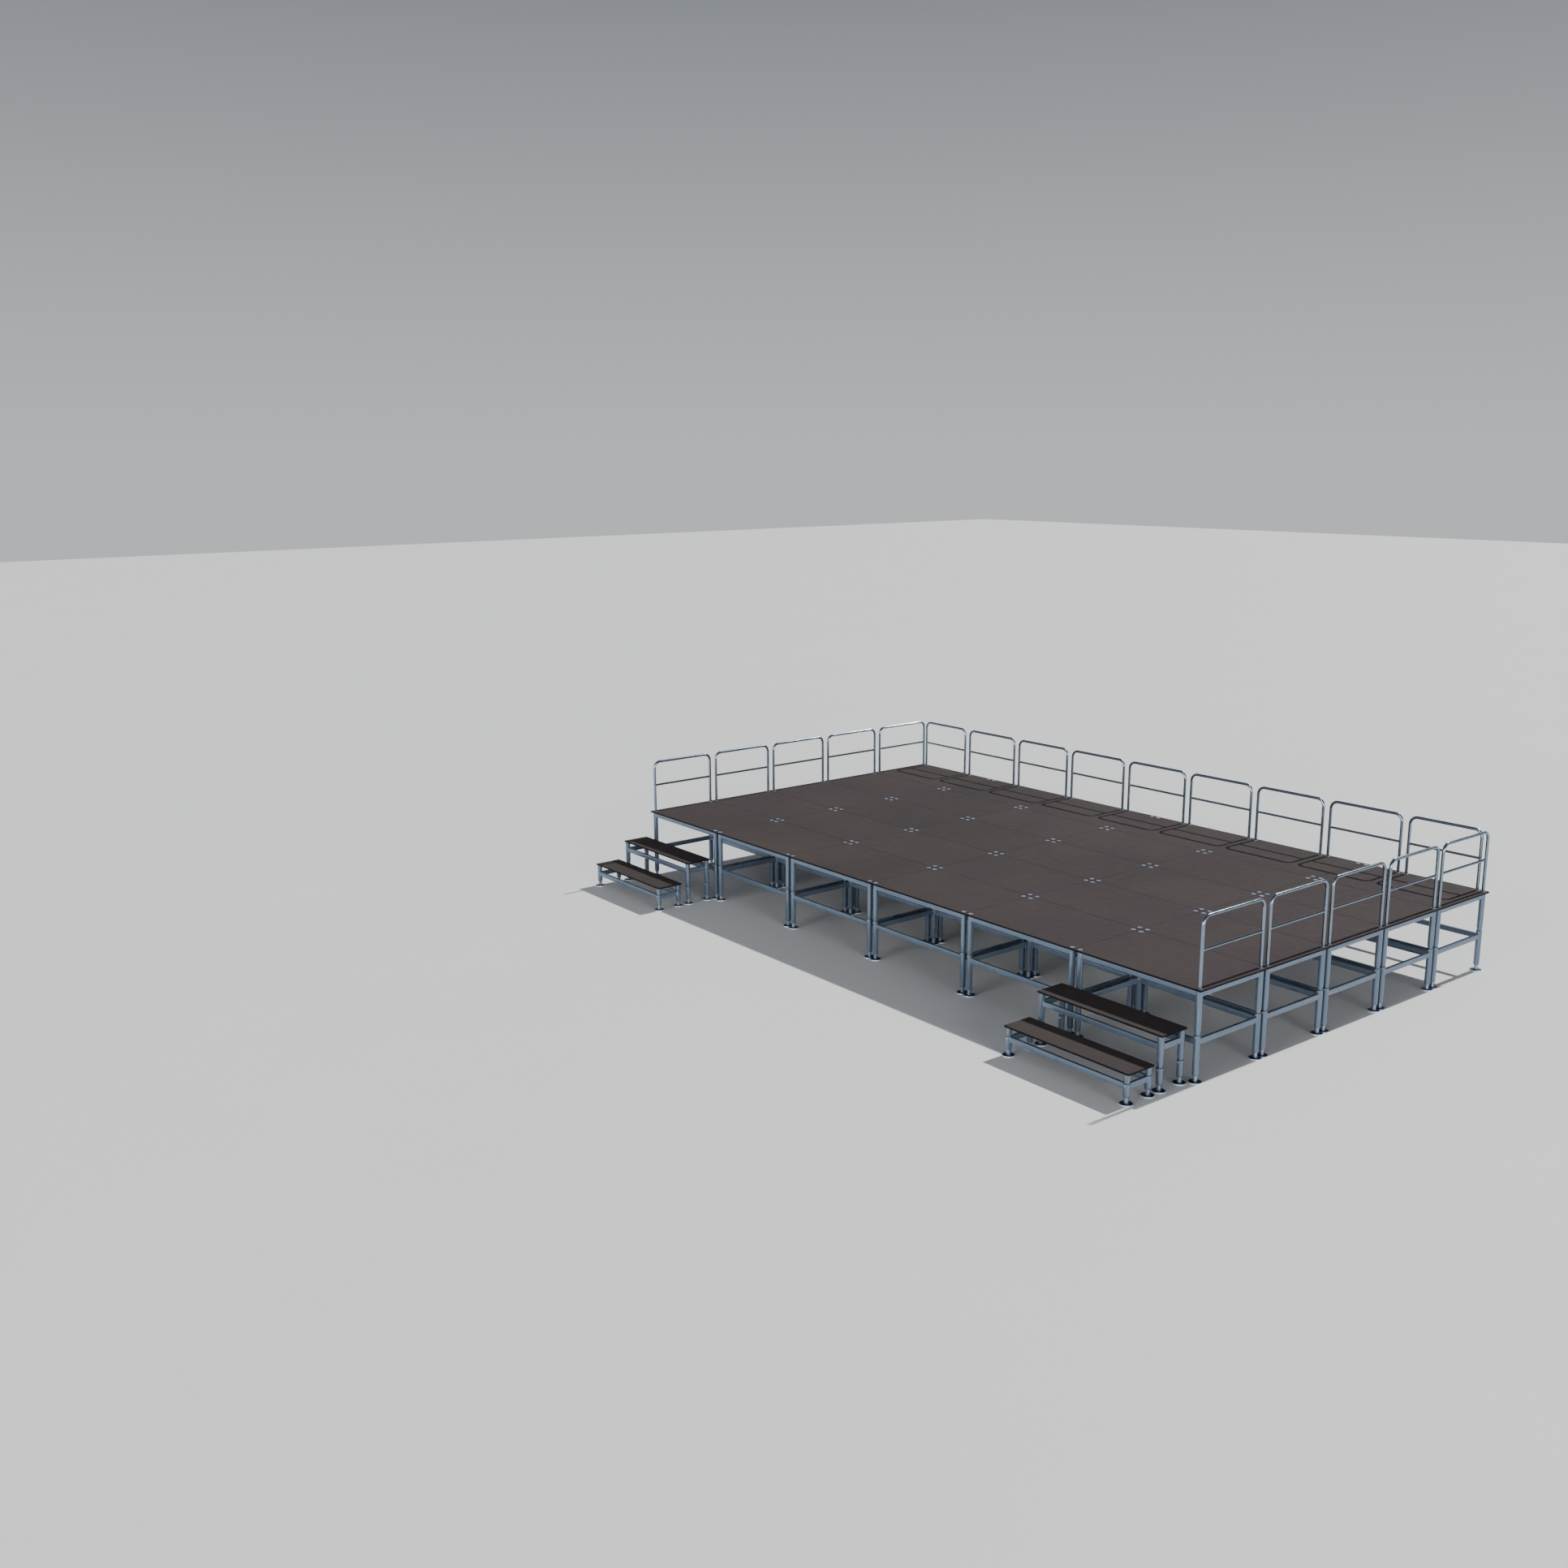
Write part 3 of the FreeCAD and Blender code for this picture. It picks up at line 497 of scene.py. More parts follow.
def board_film():
    """Dark brown film-faced board: a tint per board, patches, anti-slip grain, scuffs, and rare light dots
    painted in as glints.
    """
    make = Nodes("board_film", 0.0, 0.7)
    separate = make.node("ShaderNodeSeparateXYZ", Vector=make.place)
    tile = make.node("ShaderNodeCombineXYZ")
    for axis, start, pitch in (("X", STAGE_X, MODULE_X), ("Y", STAGE_Y, MODULE_Y)):
        shifted = make.sum(separate.outputs[axis], start, "SUBTRACT")
        counted = make.sum(make.sum(shifted, pitch, "DIVIDE"), 0.0, "FLOOR")
        make.feed(tile.inputs[axis], counted)
    tint = make.node("ShaderNodeTexWhiteNoise", {"noise_dimensions": "3D"},
                     Vector=tile.outputs["Vector"]).outputs["Value"]
    film = make.blended(tint, (0.040, 0.0330, 0.0325, 1), (0.047, 0.0385, 0.0370, 1))
    purple = make.spread(make.noise(0.55, 3.0, 0.55), 0.46, 0.60, 0.0, 0.75)
    film = make.blended(purple, film, (0.047, 0.034, 0.043, 1))
    grain = make.spread(make.noise(480, 2.0, 0.6), 0.40, 0.64, 0.0, 0.5)
    film = make.blended(grain, film, (0.073, 0.060, 0.057, 1))
    cloud = make.spread(make.noise(0.8, 3.0, 0.5), 0.42, 0.66, 0.0, 0.45)
    film = make.blended(cloud, film, (0.063, 0.054, 0.045, 1))
    scuff = make.spread(make.noise(5, 6.0, 0.75), 0.64, 0.78, 0.0, 0.28)
    film = make.blended(scuff, film, (0.11, 0.097, 0.090, 1))
    for drawn_out in ((3, 170, 3), (130, 4, 4)):
        drag = make.spread(make.noise(1.0, 3.0, 0.6, make.stretched(drawn_out)), 0.66, 0.74, 0.0, 0.30)
        film = make.blended(drag, film, (0.095, 0.085, 0.080, 1))
    # Painted glints: rare light bluish-grey dots set into the film's colour.
    painted_glint_dots = make.spread(make.cells(15), 0.0, 0.045, 1.0, 0.0)
    rare = make.spread(make.noise(8, 2.0), 0.56, 0.62, 0.0, 0.8)
    film = make.blended(make.sum(painted_glint_dots, rare, "MULTIPLY"), film, (0.42, 0.45, 0.50, 1))
    make.colour(film)
    make.rough(make.spread(make.noise(9, 4.0, 0.6), 0.3, 0.7, 0.60, 0.76))
    mesh = make.cells(260, "DISTANCE_TO_EDGE")
    make.bump(make.spread(mesh, 0.0, 0.12, 0.0, 1.0), 0.45, 0.0008)
    make.shader.inputs["Specular IOR Level"].default_value = 0.06
    return make.material


def board_edge():
    """Black sealing paint on the edge of a board, worn a little."""
    make = Nodes("board_edge", 0.0, 0.55)
    wear = make.spread(make.noise(60, 5.0, 0.7), 0.62, 0.72, 0.0, 0.4)
    make.colour(make.blended(wear, (0.005, 0.005, 0.006, 1), (0.03, 0.027, 0.025, 1)))
    make.rough(make.spread(make.noise(35), 0.3, 0.7, 0.62, 0.80))
    make.shader.inputs["Specular IOR Level"].default_value = 0.1
    make.bump(make.noise(220, 2.0), 0.25, 0.0004)
    return make.material


def brushed_metal(name, fine, broad, roughness):
    """Satin extrusion: fine drawing lines along its length, broad bands that are partly drawing marks and
    partly painted reflection streaks, blotches and scratches.
    """
    make = Nodes(name, 0.55, 0.3)
    lines = make.noise(1.0, 4.0, 0.65, make.stretched(fine))
    # Broad lengthwise bands: partly drawing marks, partly painted reflection streaks, light and dark
    # stripes set into the colour.
    bands_and_painted_streaks = make.noise(1.0, 2.0, 0.5, make.stretched(broad))
    blotch = make.noise(2.6, 4.0, 0.55)
    share = make.sum(make.sum(lines, 0.35, "MULTIPLY"), make.sum(bands_and_painted_streaks, 0.45, "MULTIPLY"))
    share = make.sum(share, make.sum(blotch, 0.2, "MULTIPLY"))
    make.colour(make.blended(make.spread(share, 0.38, 0.62, 0.0, 1.0), ALUMINIUM_DARK, ALUMINIUM_LIGHT))
    low, high = roughness
    make.rough(make.spread(make.sum(lines, blotch), 0.75, 1.25, low, high))
    scratch = make.cells(34, "DISTANCE_TO_EDGE", make.stretched((1.0, 1.0, 0.35)))
    make.bump(make.sum(lines, make.spread(scratch, 0.0, 0.01, -0.5, 0.0)), 0.10, 0.0003)
    return make.material


def galvanised():
    """Bright zinc-coated steel tube: soft spangle and a slight haze."""
    make = Nodes("rail_zinc", 1.0, 0.2)
    spangle = make.cells(85, "F1", None, "Color")
    grey = make.node("ShaderNodeSeparateXYZ", Vector=spangle).outputs["X"]
    haze = make.noise(5, 4.0, 0.6)
    share = make.sum(make.sum(grey, 0.2, "MULTIPLY"), make.sum(haze, 0.8, "MULTIPLY"))
    make.colour(make.blended(make.spread(share, 0.2, 0.8, 0.0, 1.0),
                             (0.17, 0.22, 0.28, 1), (0.27, 0.33, 0.39, 1)))
    make.rough(make.spread(share, 0.2, 0.8, 0.17, 0.27))
    make.bump(make.sum(haze, make.sum(grey, 0.15, "MULTIPLY")), 0.02, 0.0004)
    return make.material


def weld_metal():
    """Weld metal, rippled in a darker and a lighter grey."""
    make = Nodes("weld_bead", 1.0, 0.4)
    ripple = make.noise(420, 3.0, 0.6)
    make.colour(make.blended(ripple, (0.17, 0.20, 0.24, 1), (0.36, 0.41, 0.47, 1)))
    make.rough(make.spread(ripple, 0.3, 0.7, 0.32, 0.52))
    make.bump(ripple, 0.5, 0.0008)
    return make.material


def turned_steel(name, light, dark, rough_low, rough_high, metallic=1.0):
    """Turned or pressed steel with fine marks and a patchy sheen."""
    make = Nodes(name, metallic, 0.35)
    marks = make.noise(140, 3.0, 0.6)
    patch = make.noise(11, 4.0, 0.6)
    share = make.sum(make.sum(marks, 0.4, "MULTIPLY"), make.sum(patch, 0.6, "MULTIPLY"))
    make.colour(make.blended(make.spread(share, 0.3, 0.7, 0.0, 1.0), dark, light))
    make.rough(make.spread(share, 0.3, 0.7, rough_low, rough_high))
    make.bump(marks, 0.12, 0.0004)
    return make.material


def dark_plastic(name, colour, worn):
    """Moulded black plastic or rubber with a fine grain."""
    make = Nodes(name, 0.0, 0.5)
    grain = make.noise(300, 3.0, 0.6)
    wear = make.spread(make.noise(40, 4.0, 0.65), 0.55, 0.75, 0.0, 0.7)
    make.colour(make.blended(wear, colour, worn))
    make.rough(make.spread(grain, 0.3, 0.7, 0.42, 0.62))
    make.bump(grain, 0.3, 0.0004)
    return make.material


ALUMINIUM_LIGHT = (0.165, 0.22, 0.295, 1)
ALUMINIUM_DARK = (0.112, 0.152, 0.208, 1)
BOARD = [board_film(), board_edge()]
UPRIGHT = brushed_metal("aluminium_upright", (150, 150, 3), (42, 42, 1), (0.16, 0.28))
LONGWISE = brushed_metal("aluminium_longwise", (3, 150, 150), (1, 42, 42), (0.24, 0.36))
CROSSWISE = brushed_metal("aluminium_crosswise", (150, 3, 150), (42, 1, 42), (0.24, 0.36))
ZINC_RAIL = galvanised()
WELD = weld_metal()
SOCKET = turned_steel("socket_aluminium", (0.52, 0.62, 0.80, 1), (0.38, 0.47, 0.66, 1), 0.30, 0.44)
# The pad's top and rim are lit and shaded copies of one steel: painted shade darkens the top, and a painted
# highlight lightens the rim.
PAD_TOP_PAINTED_DARK = turned_steel("pad_blue_steel_painted_dark", (0.10, 0.15, 0.24, 1), (0.045, 0.07, 0.13, 1), 0.26, 0.42)
PAD_RIM_PAINTED_LIGHT = turned_steel("pad_rim_painted_light", (0.72, 0.75, 0.77, 1), (0.56, 0.60, 0.63, 1), 0.25, 0.42, 0.4)
HUB = turned_steel("hub_blue_steel", (0.10, 0.20, 0.40, 1), (0.05, 0.11, 0.25, 1), 0.22, 0.36)
SCREW = turned_steel("screw_steel", (0.52, 0.57, 0.64, 1), (0.34, 0.38, 0.45, 1), 0.24, 0.40)
BOLT = turned_steel("zinc_bolt_steel", (0.70, 0.70, 0.68, 1), (0.48, 0.48, 0.46, 1), 0.28, 0.44)
RUBBER = dark_plastic("rubber_sole", (0.012, 0.012, 0.013, 1), (0.04, 0.04, 0.04, 1))
GUIDE = dark_plastic("guide_ring", (0.010, 0.012, 0.018, 1), (0.03, 0.03, 0.035, 1))
DARK_CAP = dark_plastic("tread_cap_black", (0.020, 0.018, 0.018, 1), (0.07, 0.06, 0.055, 1))


# ---------------------------------------------------------------- where things stand

def module_corners():
    """The lower left corner of every deck module."""
    return [(STAGE_X + column * MODULE_X, STAGE_Y + row * MODULE_Y)
            for column in range(MODULES_ALONG) for row in range(MODULES_DEEP)]


def stage_legs():
    """The axes of the four legs of every deck module."""
    return [(x + across, y + up) for x, y in module_corners()
            for across in (INSET, MODULE_X - INSET) for up in (INSET, MODULE_Y - INSET)]


def table_legs(table):
    """The axes of a step table's four legs: front left, back left, front right, back right."""
    low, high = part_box(f"{table}_leg_sleeves")
    return [(x, y) for x in (low.x + SLEEVE_RADIUS, high.x - SLEEVE_RADIUS)
            for y in (low.y + SLEEVE_RADIUS, high.y - SLEEVE_RADIUS)]


def rail_posts(rail):
    """The two post axes of a guard rail, and whether it runs along X."""
    low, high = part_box(rail)
    along_x = high.x - low.x > high.y - low.y
    first = (low.x + RAIL_RADIUS, low.y + RAIL_RADIUS)
    second = (high.x - RAIL_RADIUS, high.y - RAIL_RADIUS)
    return first, second, along_x


def close(place, others, reach=0.01):
    """Whether one of the other places is within reach of this one."""
    return any(math.hypot(place[0] - x, place[1] - y) < reach for x, y in others)


STAGE_LEGS = stage_legs()
POSTS = [post for rail in RAILS for post in rail_posts(rail)[:2]]
BEAM_POSTS = [post for post in POSTS if not close(post, STAGE_LEGS)]
CAPPED = [leg for leg in STAGE_LEGS if not close(leg, POSTS)]


# ---------------------------------------------------------------- boards

def seam_edges(start, length, lowest, highest):
    """Where a board begins and ends: pushed up close to its neighbours, inside the deck's outline."""
    low = max(start + CLOSED_SEAM / 2, lowest)
    high = min(start + length - CLOSED_SEAM / 2, highest)
    return low, high


def make_deck():
    """Thirty deck boards, with a hole at every socket."""
    deck = Shape()
    thickness = DECK_TOP - DECK_UNDERSIDE
    hole = FLANGE_RADIUS + SEAT_CLEARANCE
    for x, y in module_corners():
        sockets = [place for place in STAGE_LEGS + BEAM_POSTS
                   if x < place[0] < x + MODULE_X and y < place[1] < y + MODULE_Y]
        left, right = seam_edges(x, MODULE_X, DECK_LOW.x, DECK_HIGH.x)
        front, back = seam_edges(y, MODULE_Y, DECK_LOW.y, DECK_HIGH.y)
        holes = [(place[0] - left, place[1] - front, hole) for place in sockets]
        deck.add_shape(board(right - left, back - front, thickness, holes),
                       at(left, front, DECK_UNDERSIDE))
    make_piece("deck_panels", deck, BOARD, "deck", ["deck_boards"])


def make_tread(table):
    """A tread board, with a hole for the cap over each leg."""
    low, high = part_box(f"{table}_tread")
    size = high - low
    hole = TREAD_CAP_RADIUS + SEAT_CLEARANCE
    holes = [(x - low.x, y - low.y, hole) for x, y in table_legs(table)]
    tread = Shape().add_shape(board(size.x, size.y, size.z, holes), at(low.x, low.y, low.z))
    make_piece(f"{table}_tread_board", tread, BOARD, f"{table}_top", [f"{table}_tread"])


def make_tread_caps(table):
    """Flush caps on the bolts that hold the tread, each filling its seat in the board."""
    low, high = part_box(f"{table}_tread_caps")
    top = high.z - low.z
    under = top - TREAD_CAP_HEIGHT
    radius = TREAD_CAP_RADIUS
    dish = top - 0.0007
    cap = lathe([(0, 0), (BOLT_RADIUS, 0), (BOLT_RADIUS, under), (radius - 0.0004, under),
                 (radius, top - FINE_CUT), (radius - FINE_CUT, top), (0.0055, top),
                 (0.0048, dish), (0, dish)])
    places = [at(x, y, low.z) for x, y in table_legs(table)]
    make_piece(f"{table}_cap_discs", copies(cap, places), [DARK_CAP], f"{table}_top",
               [f"{table}_tread_caps"])


# ---------------------------------------------------------------- frame bars

def bar_set(node, width, wall, leg_radius, spans):
    """Welded-in bars of one CAD node: spans are (x, y, length, turned) from leg axis to leg axis."""
    low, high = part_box(node)
    depth = high.z - low.z
    section = rounded_section(width, depth, BAR_CORNER)
    hollow = [(across, up + wall) for across, up in
              rounded_section(width - 2 * wall, depth - 2 * wall, BAR_CORNER / 2)]
    bars = Shape()
    for x, y, length, turned in spans:
        place = at(x, y, low.z, turned)
        bars.add_shape(coped_bar(length, section, hollow, leg_radius), place)
        bars.add_shape(bar_weld(length, section, leg_radius), place)
    return bars


def module_spans(crosswise):
    """Spans of the two long or the two cross bars of every module, from leg axis to leg axis."""
    spans = []
    for x, y in module_corners():
        if crosswise:
            for across in (INSET, MODULE_X - INSET):
                spans.append((x + across, y + INSET, MODULE_Y - 2 * INSET, 90))
        else:
            for up in (INSET, MODULE_Y - INSET):
                spans.append((x + INSET, y + up, MODULE_X - 2 * INSET, 0))
    return spans


def make_stage_bars():
    """The beams under the boards and the braces between the sleeves, with their welds."""
    for node, crosswise, width, wall, radius, body in (
        ("long_beams", False, BEAM_WIDTH, BEAM_WALL, TUBE_RADIUS, "deck"),
        ("cross_beams", True, BEAM_WIDTH, BEAM_WALL, TUBE_RADIUS, "deck"),
        ("long_braces", False, BRACE_WIDTH, BRACE_WALL, SLEEVE_RADIUS, "leg_base"),
        ("cross_braces", True, BRACE_WIDTH, BRACE_WALL, SLEEVE_RADIUS, "leg_base"),
    ):
        bars = bar_set(node, width, wall, radius, module_spans(crosswise))
        metal = CROSSWISE if crosswise else LONGWISE
        make_piece(f"{node}_extrusions", bars, [metal, WELD], body, [node])


def make_table_braces(table):
    """The ring of four brace bars: round a lower table's sleeves, or an upper table's leg tubes."""
    legs = table_legs(table)
    left, right = legs[0][0], legs[2][0]
    front, back = legs[0][1], legs[1][1]
    long_spans = [(left, y, right - left, 0) for y in (front, back)]
    end_spans = [(x, front, back - front, 90) for x in (left, right)]
    lower = "lower" in table
    radius = SLEEVE_RADIUS if lower else TUBE_RADIUS
    body = f"{table}_base" if lower else f"{table}_top"
    node = f"{table}_braces"
    ring = bar_set(node, BRACE_WIDTH, BRACE_WALL, radius, long_spans)
    ends = bar_set(node, BRACE_WIDTH, BRACE_WALL, radius, end_spans)
    # The end bars are drawn out along Y, so their metal is the third material; their welds stay.
    ends.numbers = [number or 2 for number in ends.numbers]
    ring.add_shape(ends)
    make_piece(f"{table}_brace_ring", ring, [LONGWISE, WELD, CROSSWISE], body, [node])


# ---------------------------------------------------------------- legs

def leg_tube(end, neck_top, top, plated):
    """Upper leg tube with its thin lower neck; a plated one has an end plate with a bolt hole."""
    shoulder = neck_top + NECK_TAPER
    outline = [(NECK_BORE, end), (NECK_RADIUS, end), (NECK_RADIUS, neck_top),
               (TUBE_RADIUS, shoulder), (TUBE_RADIUS, top)]
    if plated:
        under = top - END_PLATE
        outline += [(END_PLATE_HOLE, top), (END_PLATE_HOLE, under), (TUBE_BORE, under)]
    else:
        outline += [(TUBE_BORE, top)]
    outline += [(TUBE_BORE, shoulder), (NECK_BORE, neck_top)]
    return lathe(softened(outline))


def leg_sleeve(bottom, top):
    """Lower leg sleeve with a tapered nose, and the foot screw's nut inside it."""
    screw_bore = SCREW_RADIUS + SLIDING_GAP
    nut_top = bottom + NUT_HEIGHT
    return lathe(softened([
        (screw_bore, bottom), (NOSE_RADIUS, bottom), (SLEEVE_RADIUS, bottom + NOSE_HEIGHT),
        (SLEEVE_RADIUS, top), (SLEEVE_BORE, top), (SLEEVE_BORE, nut_top), (screw_bore, nut_top),
    ]))


def guide_ring(mouth):
    """Black ring on the mouth of a sleeve, which shows as a fine dark line."""
    inner = NECK_RADIUS + SEAT_CLEARANCE
    outer = SLEEVE_RADIUS - 0.0009
    top = mouth + 0.005
    slope = 0.0015
    return lathe([(inner, mouth), (outer, mouth), (outer, top - slope),
                  (inner + 0.0012, top), (inner, top)])


def lock_button(mouth):
    """Sprung locking button just under the mouth of a sleeve, facing the front."""
    flange, flange_height = 0.0085, 0.0012
    knob, knob_height = 0.0055, 0.0042
    outline = [(0, 0), (flange, 0), (flange, flange_height), (knob, flange_height),
               (knob, knob_height - 0.0012), (knob - 0.0020, knob_height), (0, knob_height)]
    button = lathe(softened(outline, FINE_CUT / 2), SMALL_ROUND)
    place = Matrix.Translation((0, BUTTON_SUNK - SLEEVE_RADIUS, mouth - BUTTON_BELOW_MOUTH))
    return Shape().add_shape(button, place @ Matrix.Rotation(math.radians(90), 4, "X"))


def make_legs(prefix, places, tubes, sleeves, top_body, base_body, neck, plated):
    """Upper tubes, sleeves, guide rings and locking buttons of one group of legs."""
    tube_low, tube_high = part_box(tubes)
    sleeve_low, sleeve_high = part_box(sleeves)
    mouth = sleeve_high.z
    upper = leg_tube(tube_low.z, mouth + neck, tube_high.z, plated)
    lower = leg_sleeve(sleeve_low.z, mouth)
    spots = [at(x, y) for x, y in places]
    make_piece(f"{prefix}upper_tubes", copies(upper, spots), [UPRIGHT], top_body,
               [tubes])
    make_piece(f"{prefix}sleeves", copies(lower, spots), [UPRIGHT], base_body,
               [sleeves])
    make_piece(f"{prefix}guide_rings", copies(guide_ring(mouth), spots), [GUIDE], base_body)
    make_piece(f"{prefix}lock_buttons", copies(lock_button(mouth), spots), [BOLT], base_body)


# ---------------------------------------------------------------- feet

# The numbers of a foot's materials, in the order that make_feet gives them.
TOP_FACE, RIM_FACE, SOLE_FACE, SCREW_FACE, HUB_FACE = range(5)


def pad(left, right, front, back):
    """Round foot pad that reaches no further than given, with a rim painted light and a top painted dark
    for how light falls on it, and a rubber sole.
    """
    def share(angle):
        """How much of the pad's radius is left in that direction."""
        across, up = math.cos(angle), math.sin(angle)
        reach = PAD_RADIUS
        for part, before, beyond in ((across, left, right), (up, front, back)):
            if abs(part) > 1e-6:
                reach = min(reach, (beyond if part > 0 else before) / abs(part))
        return reach / PAD_RADIUS

    edge, uncut = PAD_RADIUS, 0.040
    rings = (
        (0.0, 0.0, SOLE_FACE), (0.055, 0.0, SOLE_FACE), (edge - 0.0012, 0.0, SOLE_FACE),
        (edge - 0.0006, 0.0006, SOLE_FACE), (edge, 0.0012, RIM_FACE), (edge, 0.0086, RIM_FACE),
        (edge - 0.0006, 0.0097, RIM_FACE), (edge - 0.0016, PAD_THICKNESS, RIM_FACE),
        (edge - 0.0022, 0.0096, TOP_FACE), (0.045, 0.0094, TOP_FACE), (uncut, 0.0098, TOP_FACE),
        (0.026, PAD_THICKNESS, TOP_FACE),
    )
    angles = [math.tau * side / PAD_SIDES for side in range(PAD_SIDES)]
    shape = Shape().add([(0, 0, 0)], [])
    loops = [[0] * PAD_SIDES]
    for size, height, _ in rings[1:]:
        start = len(shape.points)
        sizes = [size * share(angle) if size > uncut else size for angle in angles]
        shape.add([(reach * math.cos(angle), reach * math.sin(angle), height)
                   for reach, angle in zip(sizes, angles)], [])
        loops.append(range(start, start + PAD_SIDES))
    for below, above, (_, _, number) in zip(loops, loops[1:], rings[1:]):
        faces = band(below, above)
        shape.faces += faces
        shape.numbers += [number] * len(faces)
    return shape


def foot_screw(bottom_of_sleeve, top):
    """Hexagonal hub, threaded screw and its plain upper end inside the sleeve."""
    base = PAD_THICKNESS - SEAT_CLEARANCE
    hub = lathe([(0, base), (HUB_RADIUS - 0.0006, base), (HUB_RADIUS, base + 0.0010),
                 (HUB_RADIUS, HUB_TOP - 0.0018), (HUB_RADIUS - 0.0030, HUB_TOP), (0, HUB_TOP)], 6, HUB_FACE)
    wound_out = bottom_of_sleeve + FOOT_TRAVEL
    screw = thread(HUB_TOP - THREAD_PITCH, wound_out + THREAD_PITCH, SCREW_RADIUS)
    root = SCREW_RADIUS - THREAD_DEPTH - SEAT_CLEARANCE
    shank = SCREW_RADIUS - 0.0004
    core_bottom = HUB_TOP - 0.004
    shank_bottom = wound_out + 0.002
    screw.add_shape(lathe(softened([(0, core_bottom), (root, core_bottom), (root, shank_bottom),
                                    (shank, shank_bottom), (shank, top), (0, top)])))
    screw.numbers = [SCREW_FACE] * len(screw.faces)
    return screw.add_shape(hub)


def pad_reaches(x, y, neighbours):
    """How far a pad reaches left, right, to the front and back: less where another leg stands."""
    cut = INSET - BOARD_SEAM / 2
    beside = ((x - 2 * INSET, y), (x + 2 * INSET, y), (x, y - 2 * INSET), (x, y + 2 * INSET))
    return tuple(cut if close(place, neighbours) else PAD_RADIUS for place in beside)


def make_feet(name, node, places, neighbours, body, sleeve_bottom):
    """The levelling feet of one group of legs, their pads cut flat against the neighbours' pads."""
    screw = foot_screw(sleeve_bottom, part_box(node)[1].z)
    feet = Shape()
    for x, y in places:
        feet.add_shape(pad(*pad_reaches(x, y, neighbours)), at(x, y))
        feet.add_shape(screw, at(x, y))
    make_piece(name, feet, [PAD_TOP_PAINTED_DARK, PAD_RIM_PAINTED_LIGHT, RUBBER, SCREW, HUB], body, [node])


# ---------------------------------------------------------------- sockets

def socket_bush(body_radius, neck_radius, end, floor):
    """Bush for a rail post, with a flange let flush into the board."""
    seat = DECK_TOP - FLANGE_HEIGHT
    return lathe(softened([
        (0, end), (body_radius, end), (body_radius, DECK_UNDERSIDE), (neck_radius, DECK_UNDERSIDE),
        (neck_radius, seat), (FLANGE_RADIUS, seat), (FLANGE_RADIUS, DECK_TOP),
        (SOCKET_BORE, DECK_TOP), (SOCKET_BORE, floor), (0, floor),
    ], 0.0005))


def make_sockets():
    """Bushes in the heads of the legs, and slimmer ones in the beams along the back."""
    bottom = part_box("leg_sockets")[0].z
    floor = bottom + SOCKET_FLOOR
    bush = socket_bush(TUBE_BORE - SLIDING_GAP, LEG_BUSH_NECK, bottom, floor)
    make_piece("leg_socket_bushes", copies(bush, [at(x, y) for x, y in STAGE_LEGS]), [SOCKET],
               "deck", ["leg_sockets"])
    slim = socket_bush(BEAM_BUSH_RADIUS, BEAM_BUSH_RADIUS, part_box("beam_sockets")[0].z, floor)
    make_piece("beam_socket_bushes", copies(slim, [at(x, y) for x, y in BEAM_POSTS]), [SOCKET],
               "deck", ["beam_sockets"])


def make_socket_caps():
    """Flush caps with a shallow dish and a round hole for the key."""
    low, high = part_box("socket_caps")
    top = high.z
    radius = SOCKET_CAP_RADIUS
    bevel = 0.0006
    rim = radius - 0.0035
    dish = top - 0.0007
    key, key_floor = 0.0048, top - 0.006
    cap = lathe([(0, low.z), (radius, low.z), (radius, top - bevel), (radius - bevel, top),
                 (rim, top), (rim - 0.0007, dish), (key, dish), (key, key_floor), (0, key_floor)])
    make_piece("socket_cap_discs", copies(cap, [at(x, y) for x, y in CAPPED]), [SOCKET],
               "deck", ["socket_caps"])


# ---------------------------------------------------------------- module clamps

def make_clamp_bolts():
    """Hexagon bolts through the clamps that join the modules."""
    low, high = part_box("clamp_bolts")
    height = high.z - low.z
    radius, chamfered = BOLT_HEAD_RADIUS, BOLT_HEAD_RADIUS - 0.0010
    chamfer = 0.0012
    head = BOLT_HEAD
    nut = head - chamfer
    bolt = lathe([(0, 0), (chamfered, 0), (radius, chamfer), (radius, head), (0, head)], 6)
    bolt.add_shape(lathe([(0, head), (BOLT_RADIUS, head), (BOLT_RADIUS, height), (0, height)], SMALL_ROUND))
    bolt.add_shape(lathe([(0, 0), (radius, 0), (radius, nut - chamfer), (chamfered, nut), (0, nut)], 6),
                   Matrix.Translation((0, 0, height - head)))
    places = [(STAGE_X + (column + 0.5) * MODULE_X, STAGE_Y + row * MODULE_Y)
              for column in range(MODULES_ALONG) for row in range(1, MODULES_DEEP)]
    places += [(STAGE_X + column * MODULE_X, STAGE_Y + (row + 0.5) * MODULE_Y)
               for column in range(1, MODULES_ALONG) for row in range(MODULES_DEEP)]
    make_piece("clamp_hex_bolts", copies(bolt, [at(x, y, low.z) for x, y in places]), [BOLT],
               "deck", ["clamp_bolts"])


def finish_clamps():
    """The clamps keep their CAD shape and get rounded edges and a plated finish."""
    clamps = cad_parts["module_clamps"]
    clamps.data.materials.clear()
    clamps.data.materials.append(BOLT)
    bevel = clamps.modifiers.new("rounded_edges", "BEVEL")
    bevel.width = 0.0012
    bevel.segments = 2
    bevel.limit_method = "ANGLE"


# ---------------------------------------------------------------- guard rails

